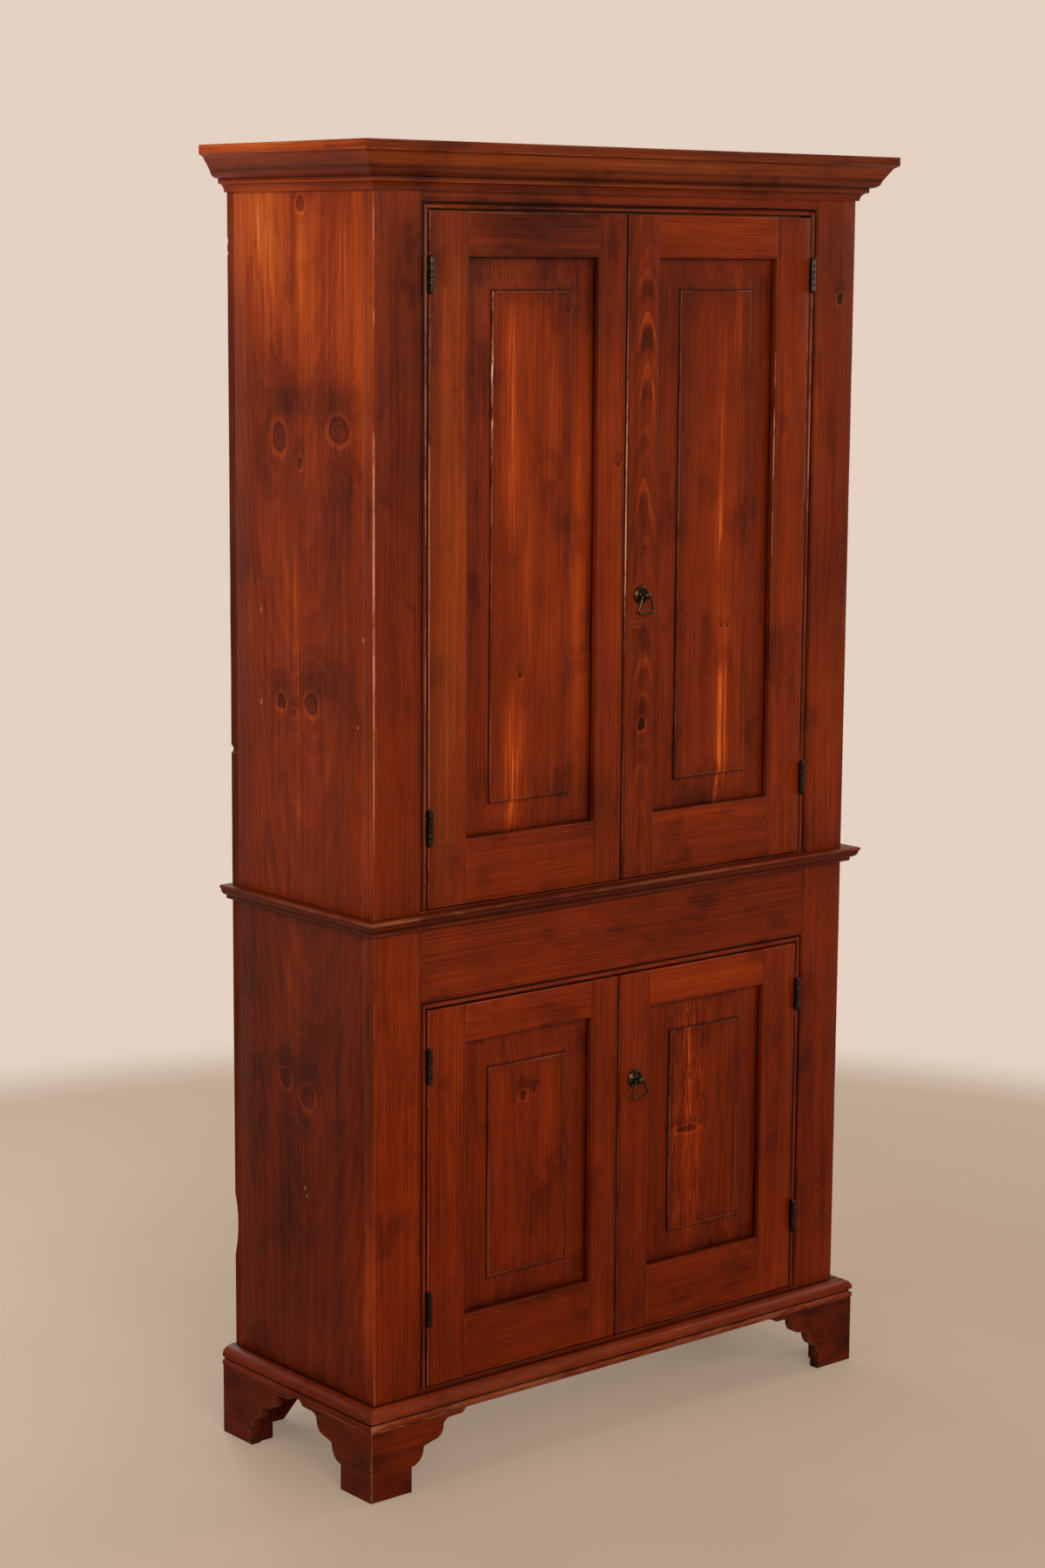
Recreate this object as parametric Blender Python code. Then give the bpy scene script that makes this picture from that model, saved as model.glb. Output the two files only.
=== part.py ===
"""Pantry cupboard in stained pine: an upper case with two tall panelled doors that stands on
a lower case with two shorter ones, on bracket feet.

Metres, +Z up. The origin is on the floor under the middle of the whole cupboard, +X is to
the right of someone who faces the doors, and the doors face -Y. A depth in this file is
measured from the front of the face frames towards the back.
"""
import math

import bmesh
import bpy
from mathutils import Matrix, Vector

# Overall sizes
TOTAL_H = 2.080           # floor to the top of the cornice
CASE_W = 1.006            # across both cases, without mouldings
CASE_DEPTH = 0.377        # face frame to the outside of the back boards
SEAM_Z = 0.900            # top of the lower case, where the upper case stands
FOOT_H = 0.115            # floor to the underside of the lower case

CURVE_STEPS = 5           # flats in a quarter round of a moulding
FILLET_STEP = 0.0012      # small square step beside a moulded curve

# Fits
FIT = 0.0003              # between pieces that touch
EDGE_GAP = 0.0018         # between a door and its opening, hinge side
RAIL_GAP = 0.0020         # between a door and its opening, top and bottom
MEET_GAP = 0.0035         # between the two doors of a pair
MEET_X = -0.003           # where the two doors of a pair meet

# Case boards
SIDE_T = 0.020
BOARD_T = 0.020           # tops and bottoms of the cases
SHELF_T = 0.019
BACK_T = 0.018
BACK_BOARDS = 5           # boards across the back of each case
CORNICE_RISE = 0.018      # how far the cornice stands above the upper case
SHELF_SETBACK = 0.045     # depth of the shelves' front edges
UPPER_SHELVES = 3
LOWER_SHELF_DROP = 0.105  # the lower shelf lies this far below the middle of its space
HOUSING_DEPTH = 0.006     # grooves in the sides that carry the shelves
BACK_GROOVE_W = 0.003     # joint between two back boards
BACK_GROOVE_DEPTH = 0.004

# Face frames
FRAME_T = 0.025
FRAME_STILE_W = 0.0915
BEAD_W = 0.0095           # round bead that lines each opening
QUIRK_W = 0.0020          # groove beside the bead
QUIRK_DEPTH = 0.0045
UPPER_FRAME_BOTTOM_H = BOARD_T
LOWER_BOARD_RISE = 0.0175  # the bottom board lies this far above the lower edge of the case
LOWER_FRAME_BOTTOM_H = LOWER_BOARD_RISE + BOARD_T
LOWER_FRAME_TOP_H = 0.136
UPPER_FRAME_REVEAL = 0.027   # from the upper opening to the underside of the cornice
STOP_DROP = 0.010         # door stops reach this far below the top of the opening
STOP_RISE = 0.014
STOP_T = 0.012

# Doors
HINGE_STILE_W = 0.075
LEFT_MEETING_STILE_W = 0.057
RIGHT_MEETING_STILE_W = 0.067
UPPER_DOOR_TOP_RAIL_H = 0.067
LOWER_DOOR_TOP_RAIL_H = 0.061
DOOR_BOTTOM_RAIL_H = 0.102
GROOVE_DEPTH = 0.012      # ploughed round the inside of the door frame
GROOVE_FRONT = 0.0120
GROOVE_T = 0.0060
TONGUE = 0.009            # how far the panel reaches into the groove
PANEL_BEVEL_W = 0.050
FIELD_DEPTH = 0.0055      # face of the raised field, behind the face of the door
SHOULDER_H = 0.0030       # step from the field down to the bevel

# Butt hinges
HINGE_L = 0.052
LEAF_T = 0.0014
LEAF_DEPTH = FRAME_T * 0.82   # how far a leaf reaches into the joint
KNUCKLE_R = 0.0050
KNUCKLES = 5
KNUCKLE_STEPS = 12
PIN_R = 0.0021
PIN_HEAD_R = 0.0034
PIN_HEAD_H = 0.0028
KNUCKLE_CLEAR = 0.0008    # between a knuckle and the face of the door
AXIS_PROUD = KNUCKLE_R + KNUCKLE_CLEAR   # hinge axis in front of the face frame

# Cupboard turns on the right-hand doors
UPPER_TURN_RISE = 0.461   # above the bottom of the upper opening
LOWER_TURN_RISE = 0.4325  # above the bottom of the lower opening
ROSETTE_R = 0.0150
ROSETTE_T = 0.0042
SPINDLE_R = 0.0040
COLLAR_R = 0.0062
NECK_R = 0.0036
COLLAR_T = 0.0020
NECK_L = 0.0030
BOSS_R = 0.0065
BAIL_WIRE_R = 0.0016
BAIL_SIDE_PLAY = 0.0007   # between the bail and the sides of the boss
BAIL_FLARE = 0.0047       # the bail is this much wider at each side of its foot
BAIL_DROP = 0.0285
BAIL_CORNER_R = 0.0045
BAIL_BORE_CLEAR = 0.0004
FINGER_L = 0.050
FINGER_T = 0.0030
FINGER_PLAY = 0.0005      # between the finger and the backs of the doors
FINGER_ROOT_R = 0.0070
FINGER_TIP_R = 0.0045
TURN_STEPS = 24

# Mouldings: how far each stands out from the case
CORNICE_OUT = 0.0505
CORNICE_FASCIA_H = 0.0143
CORNICE_LIP_OUT = 0.0070      # the fascia stands in front of the slope below it
CORNICE_LIP_H = 0.0040
CORNICE_SLOPE_H = 0.0220
CORNICE_SLOPE_OUT = 0.0140
CORNICE_OVOLO_H = 0.0107
CORNICE_FILLET_H = 0.0075
CORNICE_COVE_H = 0.0128
CORNICE_COVE_OUT = 0.0100
CORNICE_FOOT_OUT = 0.0040
WAIST_H = 0.0250
WAIST_OUT = 0.0240
WAIST_NOSE_H = 0.0072
WAIST_NOSE_R = 0.0028
WAIST_OVOLO_H = 0.0100
WAIST_FILLET_OUT = 0.0110
WAIST_LIFT = UPPER_FRAME_BOTTOM_H - 0.0020   # how far the waist moulding laps the upper case
BASE_STRIP_H = 0.0055     # strip of the bottom rail that shows above the base moulding
BASE_MOULD_H = LOWER_FRAME_BOTTOM_H - BASE_STRIP_H
BASE_OUT = 0.0265
BASE_BEAD_H = 0.0095
BASE_BEAD_R = 0.0040
BASE_QUIRK_H = 0.0045
BASE_QUIRK_DEPTH = 0.0040
BASE_FILLET_H = 0.0035
BASE_LEDGE_OUT = 0.0080       # width of the top edge, where the ovolo starts

# Bracket feet
BRACKET_OUT = 0.0255      # face of the brackets in front of the case
BRACKET_T = 0.018
FRONT_BRACKET_L = 0.190
BRACKET_TIP_GAP = 0.0225  # between the tips of the two brackets on each side
BRACKET_FOOT_W = 0.080
FRONT_BLOCK_W = 0.034
REAR_BLOCK_W = 0.028
REAR_BLOCK_L = 0.058
BRACE_T = 0.018
BRACE_FOOT_W = 0.091

# Finishes: linear base colour, roughness, metallic
PINE = (0.150, 0.030, 0.009)
PINE_DARK = (0.105, 0.020, 0.007)
PINE_BRIGHT = (0.205, 0.045, 0.011)
PINE_INSIDE = (0.330, 0.170, 0.070)
IRON = (0.045, 0.036, 0.028)
WOOD_ROUGH = 0.38
BARE_WOOD_ROUGH = 0.70
IRON_ROUGH = 0.42

# Places worked out from the sizes above
HALF_W = CASE_W / 2
FRONT_Y = CORNICE_OUT - (CASE_DEPTH + CORNICE_OUT) / 2
UPPER_TOP_Z = TOTAL_H - CORNICE_RISE
CORNICE_H = (CORNICE_FASCIA_H + CORNICE_LIP_H + CORNICE_SLOPE_H + CORNICE_OVOLO_H
             + CORNICE_FILLET_H + CORNICE_COVE_H)
CORNICE_Z = TOTAL_H - CORNICE_H
BACK_FRONT = CASE_DEPTH - BACK_T
STRIP_W = BEAD_W + QUIRK_W
OPEN_HALF = HALF_W - FRAME_STILE_W - STRIP_W
UPPER_OPEN = (SEAM_Z + UPPER_FRAME_BOTTOM_H, CORNICE_Z - UPPER_FRAME_REVEAL)
LOWER_OPEN = (FOOT_H + LOWER_FRAME_BOTTOM_H, SEAM_Z - LOWER_FRAME_TOP_H)
DOOR_T = FRAME_T
HINGE_X = OPEN_HALF - EDGE_GAP / 2
SPINDLE_BORE_R = SPINDLE_R + FIT
TURN_X = MEET_X + MEET_GAP / 2 + RIGHT_MEETING_STILE_W / 2
BOSS_REACH = math.sqrt(BOSS_R ** 2 - NECK_R ** 2)   # centre of the boss to the end of the neck
BOSS_PROUD = ROSETTE_T + FIT + COLLAR_T + NECK_L + BOSS_REACH
BAIL_HALF_TOP = BOSS_R + BAIL_WIRE_R + BAIL_SIDE_PLAY
BAIL_HALF_BOTTOM = BAIL_HALF_TOP + BAIL_FLARE
SHOULDER_DEPTH = FIELD_DEPTH + SHOULDER_H
BEVEL_DROP = (GROOVE_FRONT + FIT - SHOULDER_DEPTH) * (PANEL_BEVEL_W + TONGUE) / PANEL_BEVEL_W
SIDE_BRACKET_L = (CASE_DEPTH + BRACKET_OUT - BRACKET_TIP_GAP) / 2


def y_at(depth):
    """World y of a depth behind the front of the face frames."""
    return FRONT_Y + depth


def arc(centre, radius, start, end, steps):
    """Points on an arc, from the start angle to the end angle in degrees."""
    points = []
    for i in range(steps + 1):
        a = math.radians(start + (end - start) * i / steps)
        points.append((centre[0] + radius[0] * math.cos(a), centre[1] + radius[1] * math.sin(a)))
    return points


def finish(name, colour, roughness, metallic):
    material = bpy.data.materials.new(name)
    material.use_nodes = True
    shader = material.node_tree.nodes["Principled BSDF"]
    shader.inputs["Base Color"].default_value = (*colour, 1.0)
    shader.inputs["Roughness"].default_value = roughness
    shader.inputs["Metallic"].default_value = metallic
    material.diffuse_color = (*colour, 1.0)
    return material


def add_object(name, bm, colour, roughness=WOOD_ROUGH, metallic=0.0, smooth=False):
    """Turn a bmesh into a named object with its own material."""
    bmesh.ops.recalc_face_normals(bm, faces=bm.faces)
    mesh = bpy.data.meshes.new(name)
    bm.to_mesh(mesh)
    bm.free()
    mesh.materials.append(finish(name, colour, roughness, metallic))
    if smooth:
        mesh.shade_smooth()
        mesh.set_sharp_from_angle(angle=math.radians(35))
    obj = bpy.data.objects.new(name, mesh)
    bpy.context.collection.objects.link(obj)
    return obj


def add_box(bm, x, depth, z):
    """A box between two values on each axis."""
    size = Vector((abs(x[1] - x[0]), abs(depth[1] - depth[0]), abs(z[1] - z[0])))
    middle = Vector(((x[0] + x[1]) / 2, y_at((depth[0] + depth[1]) / 2), (z[0] + z[1]) / 2))
    matrix = Matrix.Translation(middle) @ Matrix.Diagonal((*size, 1.0))
    bmesh.ops.create_cube(bm, size=1.0, matrix=matrix)


def add_rings(bm, rings, closed=False):
    """Skin a list of rings with equal point counts, with a cap on the first and the last."""
    loops = [[bm.verts.new(point) for point in ring] for ring in rings]
    count = len(loops[0])
    pairs = list(zip(loops, loops[1:]))
    if closed:
        pairs.append((loops[-1], loops[0]))
    for low, high in pairs:
        for i in range(count):
            j = (i + 1) % count
            bm.faces.new((low[i], low[j], high[j], high[i]))
    if not closed:
        bm.faces.new(list(reversed(loops[0])))
        bm.faces.new(loops[-1])


def add_upright(bm, outline, z):
    """Extrude an outline of (x, depth) points from one height to another."""
    add_rings(bm, [[(px, y_at(pd), level) for px, pd in outline] for level in z])


def add_tube(bm, centre, outer, inner, z, steps):
    """A tube that stands on end, from one height to another."""
    cx, cd = centre
    rings = []
    for radius, level in ((outer, z[0]), (outer, z[1]), (inner, z[1]), (inner, z[0])):
        circle = arc((cx, cd), (radius, radius), 0, 360, steps)[:-1]
        rings.append([(px, y_at(pd), level) for px, pd in circle])
    add_rings(bm, rings, closed=True)


def add_turned(bm, profile, origin, axis, steps):
    """Spin a profile of (radius, along) points, whose ends lie on the axis."""
    axis = Vector(axis).normalized()
    side = axis.orthogonal().normalized()
    verts = [bm.verts.new(Vector(origin) + side * r + axis * a) for r, a in profile]
    edges = [bm.edges.new(pair) for pair in zip(verts, verts[1:])]
    bmesh.ops.spin(bm, geom=verts + edges, cent=origin, axis=axis,
                   angle=math.tau, steps=steps, use_merge=True)
    bmesh.ops.remove_doubles(bm, verts=bm.verts, dist=1e-6)


def add_cylinder(bm, origin, axis, radius, length, steps):
    """A solid cylinder that starts at the origin and runs along the axis."""
    add_turned(bm, [(0, 0), (radius, 0), (radius, length), (0, length)], origin, axis, steps)


def combine(obj, tool, operation):
    """Add a tool mesh to an object, or cut it out of the object."""
    bmesh.ops.recalc_face_normals(tool, faces=tool.faces)
    mesh = bpy.data.meshes.new("tool")
    tool.to_mesh(mesh)
    tool.free()
    helper = bpy.data.objects.new("tool", mesh)
    bpy.context.collection.objects.link(helper)
    modifier = obj.modifiers.new("combine", "BOOLEAN")
    modifier.operation = operation
    modifier.solver = "EXACT"
    modifier.object = helper
    bpy.context.view_layer.update()
    graph = bpy.context.evaluated_depsgraph_get()
    result = bpy.data.meshes.new_from_object(obj.evaluated_get(graph))
    obj.modifiers.clear()
    old = obj.data
    obj.data = result
    result.name = obj.name
    bpy.data.meshes.remove(old)
    bpy.data.objects.remove(helper)
    bpy.data.meshes.remove(mesh)


def hang_on(pivot_name, position, pieces, parent=None):
    """Parent pieces to an empty on their joint's axis, and give them that origin."""
    pivot = bpy.data.objects.new(pivot_name, None)
    bpy.context.collection.objects.link(pivot)
    pivot.empty_display_size = 0.02
    if parent is None:
        pivot.location = position
    else:
        pivot.parent = parent
        pivot.location = Vector(position) - parent.matrix_world.translation
    bpy.context.view_layer.update()
    for piece in pieces:
        piece.data.transform(Matrix.Translation(-Vector(position)))
        piece.parent = pivot
    return pivot


def board(name, x, depth, z, colour=PINE, roughness=WOOD_ROUGH):
    """A plain board, drawn half a fit inside its room so that neighbours never touch."""
    bm = bmesh.new()
    add_snug_box(bm, x, depth, z)
    return add_object(name, bm, colour, roughness)


def add_snug_box(bm, x, depth, z):
    room = [(min(pair) + FIT / 2, max(pair) - FIT / 2) for pair in (x, depth, z)]
    add_box(bm, *room)


def shelf_levels(storey):
    """Undersides of the shelves of one case."""
    if storey == "upper":
        low = UPPER_OPEN[0]
        step = (UPPER_TOP_Z - BOARD_T - low) / (UPPER_SHELVES + 1)
        return [low + step * (i + 1) - SHELF_T / 2 for i in range(UPPER_SHELVES)]
    return [(LOWER_OPEN[0] + SEAM_Z - BOARD_T) / 2 - LOWER_SHELF_DROP]


def case(storey, z, bottom_top):
    """Sides, bottom, top, shelves and back of one case."""
    inside = (FRAME_T, BACK_FRONT)
    reach = HALF_W - SIDE_T
    levels = shelf_levels(storey)
    for side, sign in (("left", -1), ("right", 1)):
        panel = board(f"{storey}_{side}_side", (sign * HALF_W, sign * reach), inside, z)
        housings = bmesh.new()
        for level in levels:
            add_box(housings, (sign * (reach - HOUSING_DEPTH), sign * (reach + HOUSING_DEPTH)),
                    (SHELF_SETBACK - FIT, CASE_DEPTH), (level - FIT, level + SHELF_T + FIT))
        combine(panel, housings, "DIFFERENCE")
    between = (-reach, reach)
    bare = (PINE_INSIDE, BARE_WOOD_ROUGH)
    board(f"{storey}_bottom_board", between, inside, (bottom_top - BOARD_T, bottom_top), *bare)
    board(f"{storey}_top_board", between, inside, (z[1] - BOARD_T, z[1]), *bare)
    housed = (-reach - HOUSING_DEPTH, reach + HOUSING_DEPTH)
    for i, level in enumerate(levels):
        shelf_room = (level, level + SHELF_T)
        board(f"{storey}_shelf_{i + 1}", housed, (SHELF_SETBACK, BACK_FRONT), shelf_room, *bare)
    back(storey, z)


def back(storey, z):
    """Back of boards side by side, glued into one panel, with a groove at each joint."""
    half = BACK_GROOVE_W / 2
    joints = [-HALF_W + CASE_W * i / BACK_BOARDS for i in range(1, BACK_BOARDS)]
    near, far = BACK_FRONT + FIT / 2, CASE_DEPTH
    outline = [(-HALF_W, near)]
    for x in joints:
        outline += [(x - half, near), (x - half, near + BACK_GROOVE_DEPTH)]
        outline += [(x + half, near + BACK_GROOVE_DEPTH), (x + half, near)]
    outline += [(HALF_W, near), (HALF_W, far)]
    for x in reversed(joints):
        outline += [(x + half, far), (x + half, far - BACK_GROOVE_DEPTH)]
        outline += [(x - half, far - BACK_GROOVE_DEPTH), (x - half, far)]
    outline.append((-HALF_W, far))
    bm = bmesh.new()
    add_upright(bm, outline, (z[0] + FIT / 2, z[1] - FIT / 2))
    add_object(f"{storey}_back", bm, PINE_DARK, BARE_WOOD_ROUGH)


def face_frame(storey, z, opening):
    """Stiles and rails round one opening, mortised and glued into one frame."""
    inner = HALF_W - FRAME_STILE_W
    corners = ((-HALF_W, -inner, z[0] + FIT / 2, opening[0]), (HALF_W, inner, z[0] + FIT / 2, opening[0]),
               (HALF_W, inner, z[1] - FIT / 2, opening[1] + STRIP_W),
               (-HALF_W, -inner, z[1] - FIT / 2, opening[1] + STRIP_W))
    near, far = y_at(0), y_at(FRAME_T - FIT / 2)
    rings = [[(x, near, level), (inner_x, near, inner_z), (inner_x, far, inner_z), (x, far, level)]
             for x, inner_x, level, inner_z in corners]
    bm = bmesh.new()
    add_rings(bm, rings, closed=True)
    add_object(f"{storey}_face_frame", bm, PINE)


def opening_bead(storey, opening, levels):
    """Beaded strip up the sides and across the top of an opening, mitred at its corners."""
    bead_r = BEAD_W / 2
    far = FRAME_T - FIT / 2
    section = [(0, far)] + arc((bead_r, bead_r), (bead_r, bead_r), 180, 360, 6)
    section += [(BEAD_W, QUIRK_DEPTH), (STRIP_W - FIT, QUIRK_DEPTH), (STRIP_W - FIT, far)]
    low, high = opening
    feet_ends, corners = [], []
    for sign in (-1, 1):
        feet_ends.append([(sign * (OPEN_HALF + w), y_at(d), low + FIT) for w, d in section])
        corners.append([(sign * (OPEN_HALF + w), y_at(d), high + w) for w, d in section])
    bm = bmesh.new()
    add_rings(bm, [feet_ends[0], corners[0], corners[1], feet_ends[1]])
    strip = add_object(f"{storey}_opening_bead", bm, PINE_DARK)

    pockets = bmesh.new()
    pocket = LEAF_T + FIT
    for sign in (-1, 1):
        for level in levels:
            add_box(pockets, (sign * (OPEN_HALF - pocket), sign * (OPEN_HALF + pocket)),
                    (-BEAD_W, LEAF_DEPTH + FIT), (level - HINGE_L / 2 - FIT, level + HINGE_L / 2 + FIT))
    combine(strip, pockets, "DIFFERENCE")


def door_stop(storey, opening):
    """Strip behind the top rail that the closed doors rest against."""
    board(f"{storey}_door_stop", (-OPEN_HALF, OPEN_HALF), (FRAME_T, FRAME_T + STOP_T),
          (opening[1] - STOP_DROP, opening[1] + STOP_RISE), PINE_INSIDE, BARE_WOOD_ROUGH)


def moulding(name, profile, colour):
    """A moulding along the left, the front and the right of a case, mitred at the corners.

    The profile is a closed list of (out, z) points, with out measured from the case.
    """
    corners = ((-1, CASE_DEPTH, 0), (-1, 0, -1), (1, 0, -1), (1, CASE_DEPTH, 0))
    rings = [[(sign * (HALF_W + out), y_at(depth + out * forward), z) for out, z in profile]
             for sign, depth, forward in corners]
    bm = bmesh.new()
    add_rings(bm, rings)
    return add_object(name, bm, colour)


def cornice_profile():
    """Cove, fillet, ovolo, slope and fascia, from the case at the bottom round to the top."""
    cove_top = CORNICE_Z + CORNICE_COVE_H
    fillet_top = cove_top + CORNICE_FILLET_H
    ovolo_top = fillet_top + CORNICE_OVOLO_H
    slope_top = ovolo_top + CORNICE_SLOPE_H
    slope_out = CORNICE_OUT - CORNICE_LIP_OUT
    ovolo_out = slope_out - CORNICE_SLOPE_OUT
    fillet_out = CORNICE_FOOT_OUT + CORNICE_COVE_OUT
    cove = arc((fillet_out, CORNICE_Z), (CORNICE_COVE_OUT, CORNICE_COVE_H), 180, 90, CURVE_STEPS)
    ovolo = arc((fillet_out, ovolo_top), (ovolo_out - fillet_out, CORNICE_OVOLO_H), -90, 0, CURVE_STEPS)
    points = [(FIT / 2, CORNICE_Z)] + cove + [(fillet_out + FILLET_STEP, cove_top)]
    points += [(fillet_out + FILLET_STEP, fillet_top)] + ovolo[1:]
    points += [(slope_out, slope_top), (CORNICE_OUT, slope_top + CORNICE_LIP_H)]
    points += [(CORNICE_OUT, TOTAL_H), (FIT / 2, TOTAL_H)]
    return points


def waist_profile():
    """A rounded nosing over an ovolo and a small fillet."""
    top = SEAM_Z + WAIST_LIFT
    low = top - WAIST_H
    nose_z = top - WAIST_NOSE_H
    fillet_top = nose_z - WAIST_OVOLO_H
    ovolo_out = WAIST_OUT - WAIST_NOSE_R
    ovolo_w = ovolo_out - WAIST_FILLET_OUT
    ovolo = arc((WAIST_FILLET_OUT, nose_z), (ovolo_w, WAIST_OVOLO_H), -90, 0, CURVE_STEPS)
    nose = arc((ovolo_out, top - WAIST_NOSE_R), (WAIST_NOSE_R, WAIST_NOSE_R), -45, 90, CURVE_STEPS)
    points = [(FIT / 2, low), (WAIST_FILLET_OUT - FILLET_STEP, low + FILLET_STEP)]
    points += [(WAIST_FILLET_OUT, low + 2 * FILLET_STEP), (WAIST_FILLET_OUT, fillet_top)]
    return points + ovolo[1:] + nose + [(FIT / 2, top)]


def base_profile():
    """An ovolo and a fillet over a quirk and a rounded bead."""
    low = FOOT_H + FIT
    top = FOOT_H + BASE_MOULD_H
    bead_top = low + BASE_BEAD_H
    quirk_top = bead_top + BASE_QUIRK_H
    ovolo_low = quirk_top + BASE_FILLET_H
    quirk_out = BASE_OUT - BASE_QUIRK_DEPTH
    bead_centre = (BASE_OUT - BASE_BEAD_R, bead_top - BASE_BEAD_R)
    bead = arc(bead_centre, (BASE_BEAD_R, BASE_BEAD_R), 0, 90, CURVE_STEPS)
    ovolo_size = (BASE_OUT - BASE_LEDGE_OUT, top - ovolo_low)
    ovolo = arc((BASE_LEDGE_OUT, ovolo_low), ovolo_size, 0, 90, CURVE_STEPS)
    points = [(FIT / 2, low), (BASE_OUT, low)] + bead + [(quirk_out, bead_top), (quirk_out, quirk_top)]
    return points + [(BASE_OUT, quirk_top)] + ovolo + [(FIT / 2, top)]


def bracket_outline(length):
    """Scalloped bracket as (along, z) points, along measured from its outer corner."""
    knee = FOOT_H * 0.36
    step = FOOT_H * 0.61
    shelf = FOOT_H * 0.655
    neck = FOOT_H * 0.83
    cusp = FOOT_H * 0.925
    span = length - BRACKET_FOOT_W
    a = BRACKET_FOOT_W + span * 0.22
    b = BRACKET_FOOT_W + span * 0.41
    c = BRACKET_FOOT_W + span * 0.58
    d = BRACKET_FOOT_W + span * 0.72
    top = FOOT_H - FIT
    points = [(0, 0), (BRACKET_FOOT_W, 0)]
    points += arc((BRACKET_FOOT_W, step), (a - BRACKET_FOOT_W, step - knee), -90, 0, 4)
    points += [(b, shelf)]
    points += arc((b, neck), (c - b, neck - shelf), -90, 0, 4)[1:]
    points += arc((d, neck), (d - c, cusp - neck), 180, 90, 3)[1:]
    points += [(length - span * 0.08, cusp + FIT), (length, top), (0, top)]
    return points


def add_bracket(bm, length, outer_face, inner_face):
    """A bracket between two faces, each given as a function of (along, z)."""
    outline = bracket_outline(length)
    add_rings(bm, [[outer_face(s, z) for s, z in outline], [inner_face(s, z) for s, z in outline]])


def front_foot(side, sign):
    """Two brackets that meet at the corner, and the block glued in behind them."""
    outer = HALF_W + BRACKET_OUT
    inner = outer - BRACKET_T
    front_bracket, side_bracket, block = bmesh.new(), bmesh.new(), bmesh.new()
    add_bracket(front_bracket, FRONT_BRACKET_L,
                lambda s, z: (sign * (outer - s), y_at(-BRACKET_OUT), z),
                lambda s, z: (sign * (outer - s), y_at(BRACKET_T - BRACKET_OUT), z))
    buried = BRACKET_T / 2
    add_bracket(side_bracket, SIDE_BRACKET_L,
                lambda s, z: (sign * outer, y_at(max(s, buried) - BRACKET_OUT), z),
                lambda s, z: (sign * inner, y_at(max(s, buried) - BRACKET_OUT), z))
    overlap = BRACKET_T / 4
    block_front = BRACKET_T - BRACKET_OUT
    add_box(block, (sign * (inner + overlap), sign * (inner - FRONT_BLOCK_W)),
            (block_front - overlap, block_front + FRONT_BLOCK_W), (0, FOOT_H - FIT))
    foot = add_object(f"{side}_front_foot", front_bracket, PINE)
    combine(foot, side_bracket, "UNION")
    combine(foot, block, "UNION")


def rear_foot(side, sign):
    """One bracket at the side, a block behind it and a plain brace board across the back."""
    outer = HALF_W + BRACKET_OUT
    inner = outer - BRACKET_T
    overlap = BRACKET_T / 4
    bracket, block, brace = bmesh.new(), bmesh.new(), bmesh.new()
    add_bracket(bracket, SIDE_BRACKET_L,
                lambda s, z: (sign * outer, y_at(CASE_DEPTH - s), z),
                lambda s, z: (sign * inner, y_at(CASE_DEPTH - s), z))
    brace_front = CASE_DEPTH - BRACE_T
    add_box(block, (sign * (inner + overlap), sign * (inner - REAR_BLOCK_W)),
            (brace_front - REAR_BLOCK_L, brace_front + overlap), (0, FOOT_H - FIT))
    toe = inner - BRACE_FOOT_W
    outline = [(inner + overlap, 0), (toe, 0), (toe - FOOT_H + FIT, FOOT_H - FIT),
               (inner + overlap, FOOT_H - FIT)]
    add_rings(brace, [[(sign * px, y_at(d), pz) for px, pz in outline] for d in (brace_front, CASE_DEPTH)])
    foot = add_object(f"{side}_rear_foot", bracket, PINE)
    combine(foot, block, "UNION")
    combine(foot, brace, "UNION")


def hinge_levels(opening, top_rail, bottom_rail):
    """Hinges stand level with the inner edges of the door's rails."""
    low = opening[0] + RAIL_GAP + bottom_rail + HINGE_L / 2
    high = opening[1] - RAIL_GAP - top_rail - HINGE_L / 2
    return low, high


def hinge_leaf(name, axis_x, away, level, own, has_pin):
    """One hinge leaf with its knuckles, which are solid and carry the pin on the frame's leaf.

    away is the sign of x from the axis towards the leaf; own lists the numbers of its knuckles.
    """
    near = axis_x + away * EDGE_GAP / 2
    far = near + away * LEAF_T
    bottom = level - HINGE_L / 2
    pitch = HINGE_L / KNUCKLES
    bore = PIN_R + FIT
    tab_depth = -AXIS_PROUD + (KNUCKLE_R + bore) / 2
    spans = [(bottom + i * pitch + FIT / 2, bottom + (i + 1) * pitch - FIT / 2) for i in own]

    outline = [(LEAF_DEPTH, bottom + HINGE_L), (LEAF_DEPTH, bottom), (FIT, bottom)]
    for low, high in spans:
        outline += [(FIT, low), (tab_depth, low), (tab_depth, high), (FIT, high)]
    outline.append((FIT, bottom + HINGE_L))
    plate = bmesh.new()
    add_rings(plate, [[(x, y_at(depth), z) for depth, z in outline] for x in (near, far)])
    leaf = add_object(name, plate, IRON, IRON_ROUGH, 1.0)

    barrel = bmesh.new()
    centre = (axis_x, y_at(-AXIS_PROUD), level)
    if has_pin:
        half = HINGE_L / 2 + FIT
        head = [(PIN_HEAD_R, half), (PIN_HEAD_R * 0.7, half + PIN_HEAD_H * 0.75), (0, half + PIN_HEAD_H)]
        profile = [(radius, -along) for radius, along in reversed(head)]
        for low, high in spans:
            profile += [(PIN_R, low - level), (KNUCKLE_R, low - level)]
            profile += [(KNUCKLE_R, high - level), (PIN_R, high - level)]
        profile += head
        add_turned(barrel, profile, centre, (0, 0, 1), KNUCKLE_STEPS)
    else:
        for z in spans:
            add_tube(barrel, (axis_x, -AXIS_PROUD), KNUCKLE_R, bore, z, KNUCKLE_STEPS)
    combine(leaf, barrel, "UNION")
    leaf.data.shade_smooth()
    leaf.data.set_sharp_from_angle(angle=math.radians(35))
    return leaf


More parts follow.
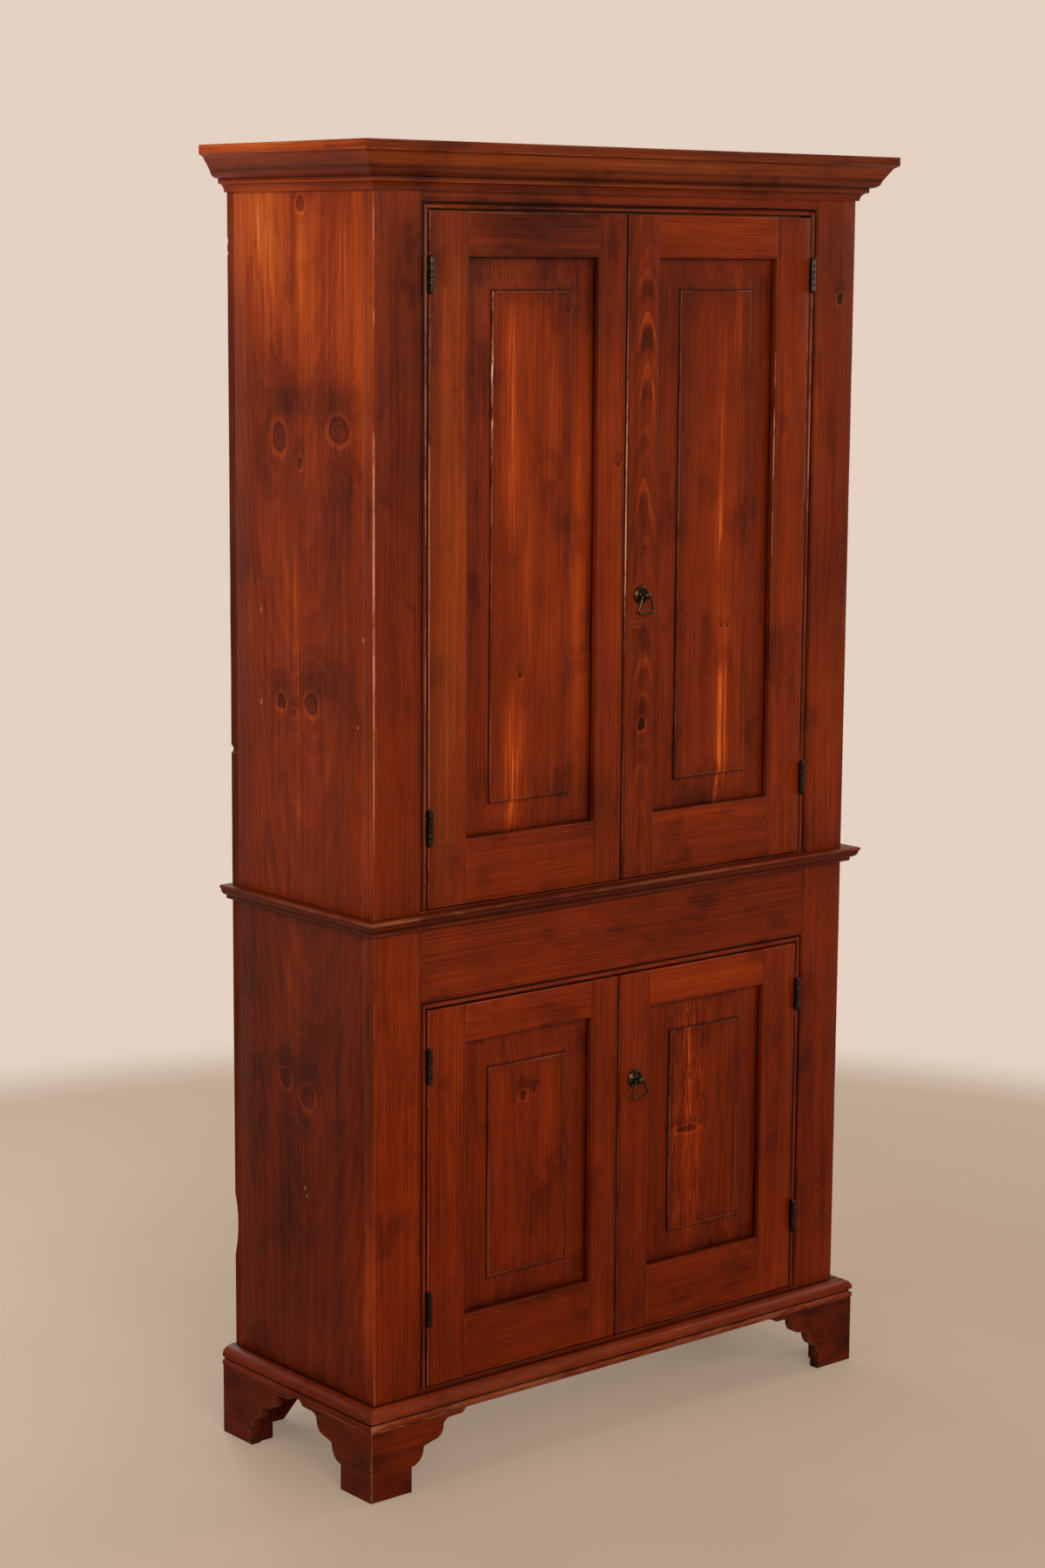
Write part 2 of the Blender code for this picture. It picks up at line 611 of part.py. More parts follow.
def door_panel(name, u, z, place):
    """Raised panel: a flat field, a square shoulder and a wide bevel that ends in the groove."""
    back = GROOVE_FRONT + GROOVE_T - FIT
    margins = [(PANEL_BEVEL_W, FIELD_DEPTH), (PANEL_BEVEL_W, SHOULDER_DEPTH),
               (-TONGUE, SHOULDER_DEPTH + BEVEL_DROP), (-TONGUE, back)]
    rings = []
    for margin, depth in margins:
        corners = [(u[0] + margin, z[0] + margin), (u[1] - margin, z[0] + margin),
                   (u[1] - margin, z[1] - margin), (u[0] + margin, z[1] - margin)]
        rings.append([(place(pu), y_at(depth), pz) for pu, pz in corners])
    bm = bmesh.new()
    add_rings(bm, rings)
    return add_object(name, bm, PINE_BRIGHT)


def door_frame(prefix, place, width, meeting_w, z, rails, levels):
    """Stiles and rails of one door, mortised and glued into one frame, grooved for the panel."""
    top_rail, bottom_rail = rails
    corners = ((0, HINGE_STILE_W, z[0], bottom_rail), (width, -meeting_w, z[0], bottom_rail),
               (width, -meeting_w, z[1], -top_rail), (0, HINGE_STILE_W, z[1], -top_rail))
    rings = []
    for u, stile, level, rail in corners:
        into_stile = math.copysign(GROOVE_DEPTH, stile)
        into_rail = math.copysign(GROOVE_DEPTH, rail)
        inner = (u + stile, level + rail)
        groove = (u + stile - into_stile, level + rail - into_rail)
        section = ((u, level, 0), (*inner, 0), (*inner, GROOVE_FRONT), (*groove, GROOVE_FRONT),
                   (*groove, GROOVE_FRONT + GROOVE_T), (*inner, GROOVE_FRONT + GROOVE_T),
                   (*inner, DOOR_T), (u, level, DOOR_T))
        rings.append([(place(pu), y_at(depth), pz) for pu, pz, depth in section])
    bm = bmesh.new()
    add_rings(bm, rings, closed=True)
    frame = add_object(f"{prefix}_frame", bm, PINE)

    pockets = bmesh.new()
    pocket = LEAF_T + FIT
    for level in levels:
        add_box(pockets, (place(-pocket), place(pocket)), (-GROOVE_FRONT, LEAF_DEPTH + FIT),
                (level - HINGE_L / 2 - FIT, level + HINGE_L / 2 + FIT))
    combine(frame, pockets, "DIFFERENCE")
    return frame


def turn(prefix, level, door_frame_piece, door_pivot):
    """A cupboard turn: rosette, spindle with its finger inside the door, and swinging bail."""
    bore = bmesh.new()
    add_cylinder(bore, (TURN_X, y_at(-BOSS_PROUD), level), (0, 1, 0), SPINDLE_BORE_R,
                 BOSS_PROUD + DOOR_T * 2, TURN_STEPS)
    combine(door_frame_piece, bore, "DIFFERENCE")

    face = (TURN_X, y_at(0), level)
    ring = ROSETTE_R / 5
    profile = [(SPINDLE_BORE_R, -FIT), (ROSETTE_R, -FIT), (ROSETTE_R, -ROSETTE_T * 0.35)]
    for i, height in enumerate((0.75, 0.45, 0.90, 0.60, 1.0)):
        profile.append((ROSETTE_R - ring * (0.35 + 0.62 * i), -ROSETTE_T * height))
    profile.append((SPINDLE_BORE_R, -ROSETTE_T))
    rosette = bmesh.new()
    circles = []
    for radius, along in profile:
        circle = arc((0, 0), (radius, radius), 0, 360, TURN_STEPS)[:-1]
        circles.append([(face[0] + cx, face[1] + along, face[2] + cz) for cx, cz in circle])
    add_rings(rosette, circles, closed=True)
    plate = add_object(f"{prefix}_turn_rosette", rosette, IRON, IRON_ROUGH, 1.0, smooth=True)
    plate.data.transform(Matrix.Translation(-door_pivot.matrix_world.translation))
    plate.parent = door_pivot

    finger_depth = DOOR_T + FINGER_PLAY
    shaft_end = finger_depth + FINGER_T + SPINDLE_R / 4
    collar_back = -ROSETTE_T - FIT
    collar_front = collar_back - COLLAR_T
    profile = [(0, shaft_end), (SPINDLE_R, shaft_end), (SPINDLE_R, collar_back), (COLLAR_R, collar_back),
               (COLLAR_R, collar_front), (NECK_R, collar_front)]
    start = math.degrees(math.atan2(-BOSS_REACH, NECK_R))
    boss = arc((0, 0), (BOSS_R, BOSS_R), start, 90, 6)
    profile += [(max(r, 0.0), -BOSS_PROUD - a) for r, a in boss]
    spindle_mesh = bmesh.new()
    add_turned(spindle_mesh, profile, face, (0, 1, 0), TURN_STEPS * 2 // 3)
    spindle = add_object(f"{prefix}_turn_spindle", spindle_mesh, IRON, IRON_ROUGH, 1.0)

    tip = FINGER_L - FINGER_TIP_R
    outline = arc((0, 0), (FINGER_ROOT_R, FINGER_ROOT_R), 180, 360, 6)
    outline += arc((0, tip), (FINGER_TIP_R, FINGER_TIP_R), 0, 180, 5)
    finger = bmesh.new()
    add_rings(finger, [[(TURN_X + px, y_at(d), level + pz) for px, pz in outline]
                       for d in (finger_depth, finger_depth + FINGER_T)])
    combine(spindle, finger, "UNION")
    cross = bmesh.new()
    bail_bore = BAIL_WIRE_R + BAIL_BORE_CLEAR
    add_cylinder(cross, (TURN_X - BOSS_R * 2, y_at(-BOSS_PROUD), level), (1, 0, 0),
                 bail_bore, BOSS_R * 4, KNUCKLE_STEPS)
    combine(spindle, cross, "DIFFERENCE")
    spindle.data.shade_smooth()
    spindle.data.set_sharp_from_angle(angle=math.radians(35))
    spindle_pivot = hang_on(f"{prefix}_turn_axis", face, [spindle], door_pivot)

    bail = bail_curve(f"{prefix}_turn_bail")
    pivot = hang_on(f"{prefix}_bail_axis", (TURN_X, y_at(-BOSS_PROUD), level), [], spindle_pivot)
    bail.parent = pivot


def bail_curve(name):
    """Drop handle of round wire whose ends turn in to the boss, about its own pivot."""
    curve = bpy.data.curves.new(name, "CURVE")
    curve.dimensions = "3D"
    curve.bevel_depth = BAIL_WIRE_R
    curve.bevel_resolution = 2
    curve.use_fill_caps = True
    corner = BAIL_CORNER_R
    shoulder_r = BAIL_WIRE_R * 1.5
    lean = math.degrees(math.atan2(BAIL_HALF_BOTTOM - BAIL_HALF_TOP, BAIL_DROP))
    half = [(BAIL_WIRE_R, 0.0), (BAIL_HALF_TOP - shoulder_r, 0.0)]
    half += arc((BAIL_HALF_TOP - shoulder_r, -shoulder_r), (shoulder_r, shoulder_r), 90, lean, 4)[1:]
    half += arc((BAIL_HALF_BOTTOM - corner, corner - BAIL_DROP), (corner, corner), lean, -90, 6)
    points = half + [(-px, pz) for px, pz in reversed(half)]
    spline = curve.splines.new("POLY")
    spline.points.add(len(points) - 1)
    for point, (px, pz) in zip(spline.points, points):
        point.co = (px, 0.0, pz, 1.0)
    curve.materials.append(finish(name, IRON, IRON_ROUGH, 1.0))
    bail = bpy.data.objects.new(name, curve)
    bpy.context.collection.objects.link(bail)
    return bail


def door(storey, side, sign, opening, rails, levels):
    """One door with its half of each hinge. Returns its frame and the empty on its hinge line."""
    prefix = f"{storey}_{side}_door"
    edge = OPEN_HALF - EDGE_GAP
    width = edge - MEET_GAP / 2 - sign * MEET_X
    meeting_w = LEFT_MEETING_STILE_W if side == "left" else RIGHT_MEETING_STILE_W
    z = (opening[0] + RAIL_GAP, opening[1] - RAIL_GAP)

    def place(u):
        """World x of a distance from the hinge edge towards the meeting edge."""
        return sign * (edge - u)

    frame = door_frame(prefix, place, width, meeting_w, z, rails, levels)
    panel_u = (HINGE_STILE_W, width - meeting_w)
    panel_z = (z[0] + rails[1], z[1] - rails[0])
    pieces = [frame, door_panel(f"{prefix}_panel", panel_u, panel_z, place)]
    axis_x = sign * HINGE_X
    frame_knuckles = range(0, KNUCKLES, 2)
    door_knuckles = range(1, KNUCKLES, 2)
    for where, level in zip(("bottom", "top"), levels):
        hinge = f"{storey}_{side}_{where}_hinge"
        hinge_leaf(f"{hinge}_frame_leaf", axis_x, sign, level, frame_knuckles, True)
        pieces.append(hinge_leaf(f"{hinge}_door_leaf", axis_x, -sign, level, door_knuckles, False))
    pivot = hang_on(f"{prefix}_axis", (axis_x, y_at(-AXIS_PROUD), z[0]), pieces)
    return frame, pivot


def storey(name, z, opening, door_top_rail, turn_rise):
    """One case with its face frame, bead, stop, doors and turn."""
    case(name, z, opening[0])
    face_frame(name, z, opening)
    door_stop(name, opening)
    levels = hinge_levels(opening, door_top_rail, DOOR_BOTTOM_RAIL_H)
    opening_bead(name, opening, levels)
    rails = (door_top_rail, DOOR_BOTTOM_RAIL_H)
    door(name, "left", -1, opening, rails, levels)
    frame, pivot = door(name, "right", 1, opening, rails, levels)
    turn(name, opening[0] + turn_rise, frame, pivot)


def build():
    for old in list(bpy.data.objects):
        bpy.data.objects.remove(old)
    storey("upper", (SEAM_Z, UPPER_TOP_Z), UPPER_OPEN, UPPER_DOOR_TOP_RAIL_H, UPPER_TURN_RISE)
    storey("lower", (FOOT_H, SEAM_Z), LOWER_OPEN, LOWER_DOOR_TOP_RAIL_H, LOWER_TURN_RISE)
    moulding("cornice", cornice_profile(), PINE)
    moulding("waist_moulding", waist_profile(), PINE_BRIGHT)
    moulding("base_moulding", base_profile(), PINE)
    for side, sign in (("left", -1), ("right", 1)):
        front_foot(side, sign)
        rear_foot(side, sign)


build()
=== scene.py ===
import math
import random

import bmesh
import bpy
from mathutils import Matrix, Vector, noise

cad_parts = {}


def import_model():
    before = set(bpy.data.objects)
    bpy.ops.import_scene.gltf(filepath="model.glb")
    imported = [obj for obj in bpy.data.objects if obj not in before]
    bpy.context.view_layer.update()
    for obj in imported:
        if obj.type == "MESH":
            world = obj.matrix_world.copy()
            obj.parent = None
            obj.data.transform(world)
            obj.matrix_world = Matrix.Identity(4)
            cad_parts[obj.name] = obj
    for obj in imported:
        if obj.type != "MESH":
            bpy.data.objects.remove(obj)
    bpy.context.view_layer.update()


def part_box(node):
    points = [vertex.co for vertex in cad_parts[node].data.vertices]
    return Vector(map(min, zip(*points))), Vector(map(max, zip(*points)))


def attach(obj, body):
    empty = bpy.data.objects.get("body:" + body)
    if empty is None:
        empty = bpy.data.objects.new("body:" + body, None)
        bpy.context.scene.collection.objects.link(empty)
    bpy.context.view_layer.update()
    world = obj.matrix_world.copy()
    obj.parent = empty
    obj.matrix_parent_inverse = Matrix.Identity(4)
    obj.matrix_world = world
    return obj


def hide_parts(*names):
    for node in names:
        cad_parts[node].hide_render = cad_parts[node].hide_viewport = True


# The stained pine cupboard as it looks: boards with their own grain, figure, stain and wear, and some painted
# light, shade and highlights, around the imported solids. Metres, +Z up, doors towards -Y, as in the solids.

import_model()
dice = random.Random(41)

# Sizes that the solids' boxes do not give
FIT = 0.0003                # air between a hidden face and its neighbour
HAIRLINE = 0.00012          # half of a joint that shows as a thin line
BEAD_GAP = 0.0001           # the same between back boards and at the beads' mitres
SAME_POINT = 2e-6
FRONT_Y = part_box("upper_face_frame")[0].y
HALF_W = 0.503
CASE_DEPTH = 0.377
BACK_BOARDS = 5
FRAME_T = 0.025
FRAME_STILE_W = 0.0915
STRIP_W = 0.0115
BEAD_R = 0.00475
QUIRK_DEPTH = 0.0045
OPEN_HALF = 0.400
EDGE = 0.3982               # |x| of the doors' hinge edges
MEET = {"left": -0.00475, "right": -0.00125}
HINGE_STILE_W = 0.075
MEETING_W = {"left": 0.057, "right": 0.067}
TOP_RAIL_H = {"upper": 0.067, "lower": 0.061}
BOTTOM_RAIL_H = 0.102
EDGE_SHADOW = 0.0042        # how far behind the front a door's edge face grows fully dark: painted shade in the gap beside it
GROOVE_FRONT, GROOVE_BACK, GROOVE_IN = 0.012, 0.018, 0.012
TONGUE = 0.009
BEVEL_W = 0.050
FIELD_DEPTH = 0.0055
SHOULDER_DEPTH = 0.0085
BEVEL_DROP = (GROOVE_FRONT + FIT - SHOULDER_DEPTH) * (BEVEL_W + TONGUE) / BEVEL_W
HINGE_X, HINGE_L, KNUCKLE_R, PIN_R, LEAF_T = 0.3991, 0.052, 0.005, 0.0021, 0.0014
LEAF_DEPTH = 0.0205
LEAF_BED = 0.0017           # how deep a leaf is let into an edge
AXIS_PROUD = 0.0058
HINGE_Z = {"upper": (1.050, 1.8867), "lower": (0.2825, 0.6750)}
OPENING = {"upper": (0.920, 1.9817), "lower": (0.1525, 0.7640)}
DOOR_GAP_Z = 0.002
TURN_X = 0.03225
TURN_Z = {"upper": 1.381, "lower": 0.585}
BORE_R, CROSS_R = 0.0043, 0.0020
BOSS_R, NECK_R, BOSS_PROUD = 0.0065, 0.0036, 0.014912
CORNICE_TOP, CORNICE_H, CORNICE_OUT = 2.080, 0.0713, 0.0505
WAIST_TOP, WAIST_H = 0.918, 0.025
BASE_TOP = 0.147
FOOT_H = 0.115
BRACKET_OUT, BRACKET_T, FRONT_BRACKET_L = 0.0255, 0.018, 0.190
SIDE_BRACKET_GAP = 0.0225   # between the front and rear brackets of one side
FRONT_BLOCK_W, REAR_BLOCK_W, REAR_BLOCK_D, BRACE_T, BRACE_TOE = 0.034, 0.028, 0.058, 0.018, 0.091
WOOD_CREASE, IRON_CREASE = math.radians(38), math.radians(35)

STOREYS = ("upper", "lower")
SIDES = (("left", -1), ("right", 1))

# Which axis is across, through and along the grain
STILE, RAIL, SIDE, SHELF, RETURN = (0, 1, 2), (2, 1, 0), (1, 0, 2), (1, 2, 0), (2, 0, 1)


def on_side(*spots, reach=0.04):
    """Soft spots on the left side, each given as y, z, radii along y and z, amount."""
    return [((-HALF_W, y, z), (reach, ry, rz), amount) for y, z, ry, rz, amount in spots]


def on_front(*spots, reach=0.05):
    """Soft spots on the front, each given as x, z, radii along x and z, amount."""
    return [((x, -0.163, z), (rx, reach, rz), amount) for x, z, rx, rz, amount in spots]


# Places lighter (+) or darker (-) in tone, mostly where the stain is rubbed thin or lies dark, and in two spots
# painted light: centre, radii, amount
PATCHES = [
    # the first spot on the left side, bright at its top, is a painted pool of light
    *on_side((0.12, 1.96, 0.15, 0.17, 0.32), (-0.02, 1.86, 0.05, 0.17, 0.10), (0.15, 1.76, 0.07, 0.12, -0.08),
             (0.06, 1.70, 0.15, 0.25, 0.05), (0.04, 1.33, 0.05, 0.20, 0.06), (0.15, 1.56, 0.06, 0.30, -0.04),
             (0.05, 0.42, 0.11, 0.20, -0.06), (-0.09, 0.60, 0.06, 0.20, 0.03), (0.04, 0.80, 0.03, 0.09, 0.08),
             (0.0, 0.48, 0.30, 0.42, 0.01), (0.01, 1.705, 0.12, 0.03, -0.12), (-0.10, 1.56, 0.06, 0.05, -0.09),
             (0.09, 1.59, 0.04, 0.05, -0.07), (-0.02, 1.275, 0.09, 0.024, -0.12),
             (-0.04, 0.69, 0.08, 0.06, -0.09)),
    *on_side((-0.11, 1.88, 0.026, 0.26, 0.14), reach=0.03),
    *on_side((0.2095, 1.0, 0.008, 2.5, -0.16), reach=0.006),
    # the outer edges of the face frames
    *on_side((-0.151, 1.80, 0.016, 0.34, 0.34), (-0.151, 0.33, 0.016, 0.16, 0.32),
             (-0.151, 0.64, 0.016, 0.24, -0.13), (-0.151, 0.16, 0.016, 0.06, -0.10),
             (-0.151, 1.03, 0.016, 0.11, 0.20), reach=0.0015),
    *on_front((-0.23, 1.65, 0.035, 0.26, 0.08), (-0.228, 1.12, 0.03, 0.13, 0.12),
              (0.222, 1.18, 0.03, 0.20, 0.08), (-0.352, 1.50, 0.03, 0.56, 0.20),
              (0.365, 1.42, 0.03, 0.30, 0.05), (0.23, 1.95, 0.14, 0.024, 0.07), (0.20, 0.74, 0.18, 0.03, 0.13),
              (-0.25, 0.20, 0.26, 0.06, -0.09), (0.0, 0.46, 0.50, 0.33, -0.03),
              (-0.22, 0.70, 0.25, 0.25, 0.045), (-0.436, 1.78, 0.05, 0.23, -0.13),
              (-0.19, 1.955, 0.15, 0.05, -0.26), (-0.06, 1.86, 0.08, 0.09, -0.12),
              (0.11, 1.86, 0.06, 0.06, -0.06), (-0.06, 1.06, 0.05, 0.06, -0.16),
              (0.455, 1.93, 0.05, 0.06, -0.11), (0.455, 1.40, 0.045, 0.14, -0.09),
              (0.465, 1.10, 0.02, 0.10, 0.08), (0.455, 0.50, 0.05, 0.18, -0.07),
              (0.36, 0.45, 0.045, 0.25, -0.03)),
    # the upper left panel's right bevel is lightened: painted light where it faces away from the lamps
    ((-0.088, -0.158, 1.48), (0.022, 0.05, 0.45), 0.21),
    # cornice, waist and base mouldings
    ((-0.553, 0.02, 2.074), (0.010, 0.25, 0.008), 0.28),
    ((-0.533, 0.0, 2.046), (0.018, 0.40, 0.014), -0.12),
    ((0.0, -0.20, 2.05), (0.9, 0.02, 0.012), 0.08),
    ((0.0, -0.18, 2.015), (0.9, 0.02, 0.012), 0.12),
    ((0.0, -0.2137, 2.073), (0.9, 0.006, 0.010), -0.13),
    ((0.0, -0.19, 0.905), (0.7, 0.03, 0.03), -0.10),
    ((0.0, -0.185, 0.13), (0.6, 0.03, 0.02), -0.03),
]

# Places where the arrises are pale, more (+) or less (-) than usual: rubbed to bare wood, and painted highlight
# where an arris catches the light
WEAR_AND_HIGHLIGHT_SPOTS = [
    *on_front((-0.503, 1.45, 0.006, 0.38, 0.55), (-0.503, 0.45, 0.006, 0.35, -0.09),
              (-0.503, 1.85, 0.006, 0.15, 0.22), reach=0.006),
    # the doors' hinge and meeting arrises, the right door's inner stile arris and the bead by the left hinge:
    # painted highlight lines
    *on_front((0.398, 1.62, 0.010, 0.22, 0.70), (0.323, 1.62, 0.010, 0.20, 0.90),
              (0.001, 1.50, 0.003, 0.25, 1.00), (-0.402, 1.54, 0.009, 0.42, 0.40), reach=0.03),
    ((-0.503, 0.213, 1.50), (0.006, 0.010, 0.50), 0.45),
    # the arris round the upper left panel's field: painted highlight
    ((-0.275, -0.158, 1.75), (0.012, 0.03, 0.15), 1.50),
    ((0.0, -0.21, 2.04), (0.7, 0.06, 0.04), 0.02),
    ((-0.54, 0.0, 2.06), (0.06, 0.30, 0.03), 0.20),
    ((-0.44, -0.185, 0.918), (0.09, 0.05, 0.01), 0.16),
    ((0.0, -0.188, 0.13), (0.6, 0.05, 0.03), 0.22),
    ((-0.53, -0.188, 0.06), (0.05, 0.05, 0.08), 0.50),
]
# how pale every arris is: wear and painted highlight
USUAL_WEAR_AND_HIGHLIGHT = 0.12

# Places where the old varnish has gone brown (+) or the stain is redder (-)
BROWNED = [
    *on_front((-0.36, 1.50, 0.05, 0.60, 0.55), (-0.455, 1.85, 0.06, 0.20, 0.35),
              (-0.19, 1.95, 0.15, 0.06, 0.45), (0.455, 1.88, 0.06, 0.18, 0.40),
              (-0.375, 1.10, 0.035, 0.25, 0.60)),
    ((0.0, -0.20, 2.045), (0.9, 0.04, 0.05), 1.00),
    ((-0.53, 0.05, 2.045), (0.03, 0.30, 0.016), 0.50),
    ((0.0, 0.0, 0.20), (2.0, 2.0, 0.75), -0.85),
    ((-0.29, -0.155, 1.88), (0.07, 0.05, 0.05), 0.45),
    ((0.0, -0.19, 0.905), (0.7, 0.03, 0.03), 0.60),
    ((0.0, -0.185, 0.13), (0.7, 0.04, 0.03), 0.95),
]

# Worn hollows in the backs' left edges: level, half length, depth
BITES = {"upper": ((1.136, 0.007, 0.0040), (1.916, 0.004, 0.0012), (1.935, 0.006, 0.0012)),
         "lower": ((0.350, 0.052, 0.0055),)}
BACKDROP = (0.78, 0.64, 0.54, 1.0)
FLOOR_END = 2.6


class Value:
    """What a shader node gives; sums, products and the like add Math nodes."""

    def __init__(self, tree, socket):
        self.tree, self.socket = tree, socket

    def math(self, operation, *others):
        return self.tree.node("Math", (self, *others), operation=operation)

    def __add__(self, other):
        return self.math("ADD", other)

    def __sub__(self, other):
        return self.math("SUBTRACT", other)

    def __mul__(self, other):
        return self.math("MULTIPLY", other)

    def __truediv__(self, other):
        return self.math("DIVIDE", other)

    __radd__, __rmul__ = __add__, __mul__

    def fade(self, start, end, low=0.0, high=1.0):
        """From low to high while the value goes from start to end, held outside."""
        if start > end:
            start, end, low, high = end, start, high, low
        return self.tree.node("MapRange", (self, start, end, low, high), interpolation_type="SMOOTHSTEP")

    def stretch(self, scale, shift=(0, 0, 0)):
        return self.tree.node("VectorMath", (self, scale, shift), operation="MULTIPLY_ADD")

    def noise(self, detail=2.0, roughness=0.5):
        settings = {"Vector": self, "Scale": 1.0, "Detail": detail, "Roughness": roughness}
        return self.tree.node("TexNoise", settings)

    def split(self):
        """The three parts of a vector."""
        parts = self.tree.node("SeparateXYZ", (self,))
        return [Value(self.tree, socket) for socket in parts.socket.node.outputs]

    def mix(self, factor, other):
        return self.tree.mix(factor, self, other)

    def ramp(self, stops):
        colour = self.tree.node("ValToRGB", (self,))
        elements = colour.socket.node.color_ramp.elements
        while len(elements) < len(stops):
            elements.new(0.5)
        for element, (place, shade) in zip(elements, stops):
            element.position = place
            element.color = (*shade, 1.0)
        return colour


class Tree:
    """The nodes of a new material or of the world."""

    def __init__(self, owner):
        owner.use_nodes = True
        self.owner = owner
        self.nodes, self.links = owner.node_tree.nodes, owner.node_tree.links
        self.shader = self.nodes.get("Principled BSDF")

    def feed(self, socket, value):
        if isinstance(value, Value):
            self.links.new(value.socket, socket)
        else:
            socket.default_value = value

    def surface(self, name, value):
        """Set an input of the material's shader."""
        self.feed(self.shader.inputs[name], value)

    def node(self, kind, inputs=(), output=0, **settings):
        """Add a node with its inputs, given in order or by name, and return one of its outputs."""
        node = self.nodes.new(f"ShaderNode{kind}")
        for name, setting in settings.items():
            setattr(node, name, setting)
        for key, value in inputs.items() if isinstance(inputs, dict) else enumerate(inputs):
            self.feed(node.inputs[key], value)
        return Value(self, node.outputs[output])

    def attribute(self, name, output="Fac"):
        return self.node("Attribute", (), output, attribute_name=name)

    def mix(self, factor, colour, other):
        """The first colour, or the other where the factor is 1."""
        return self.node("Mix", {0: factor, 6: colour, 7: other}, 2, data_type="RGBA")

    def bump(self, height, distance, strength):
        settings = {"Strength": strength, "Distance": distance, "Height": height}
        self.surface("Normal", self.node("Bump", settings))


STAIN = [(0.00, (0.0140, 0.0018, 0.0004)), (0.22, (0.0570, 0.0062, 0.0009)), (0.42, (0.1320, 0.0148, 0.0014)),
         (0.58, (0.2200, 0.0270, 0.0028)), (0.74, (0.3600, 0.0540, 0.0060)), (0.88, (0.5000, 0.1000, 0.0140)),
         (1.00, (0.6000, 0.1700, 0.0360))]
BARE = [(0.00, (0.080, 0.032, 0.012)), (0.30, (0.240, 0.108, 0.040)), (0.55, (0.390, 0.195, 0.078)),
        (1.00, (0.560, 0.340, 0.165))]
PIT_COLOUR = (0.012, 0.003, 0.0015, 1.0)
DENT_COLOUR = (0.560, 0.260, 0.140, 1.0)
# pale arris colours: rubbed stain, and a paler painted glint on the most worn
WORN_HIGHLIGHT_COLOUR, BARE_GLINT_COLOUR = (0.560, 0.200, 0.095, 1.0), (0.740, 0.460, 0.340, 1.0)


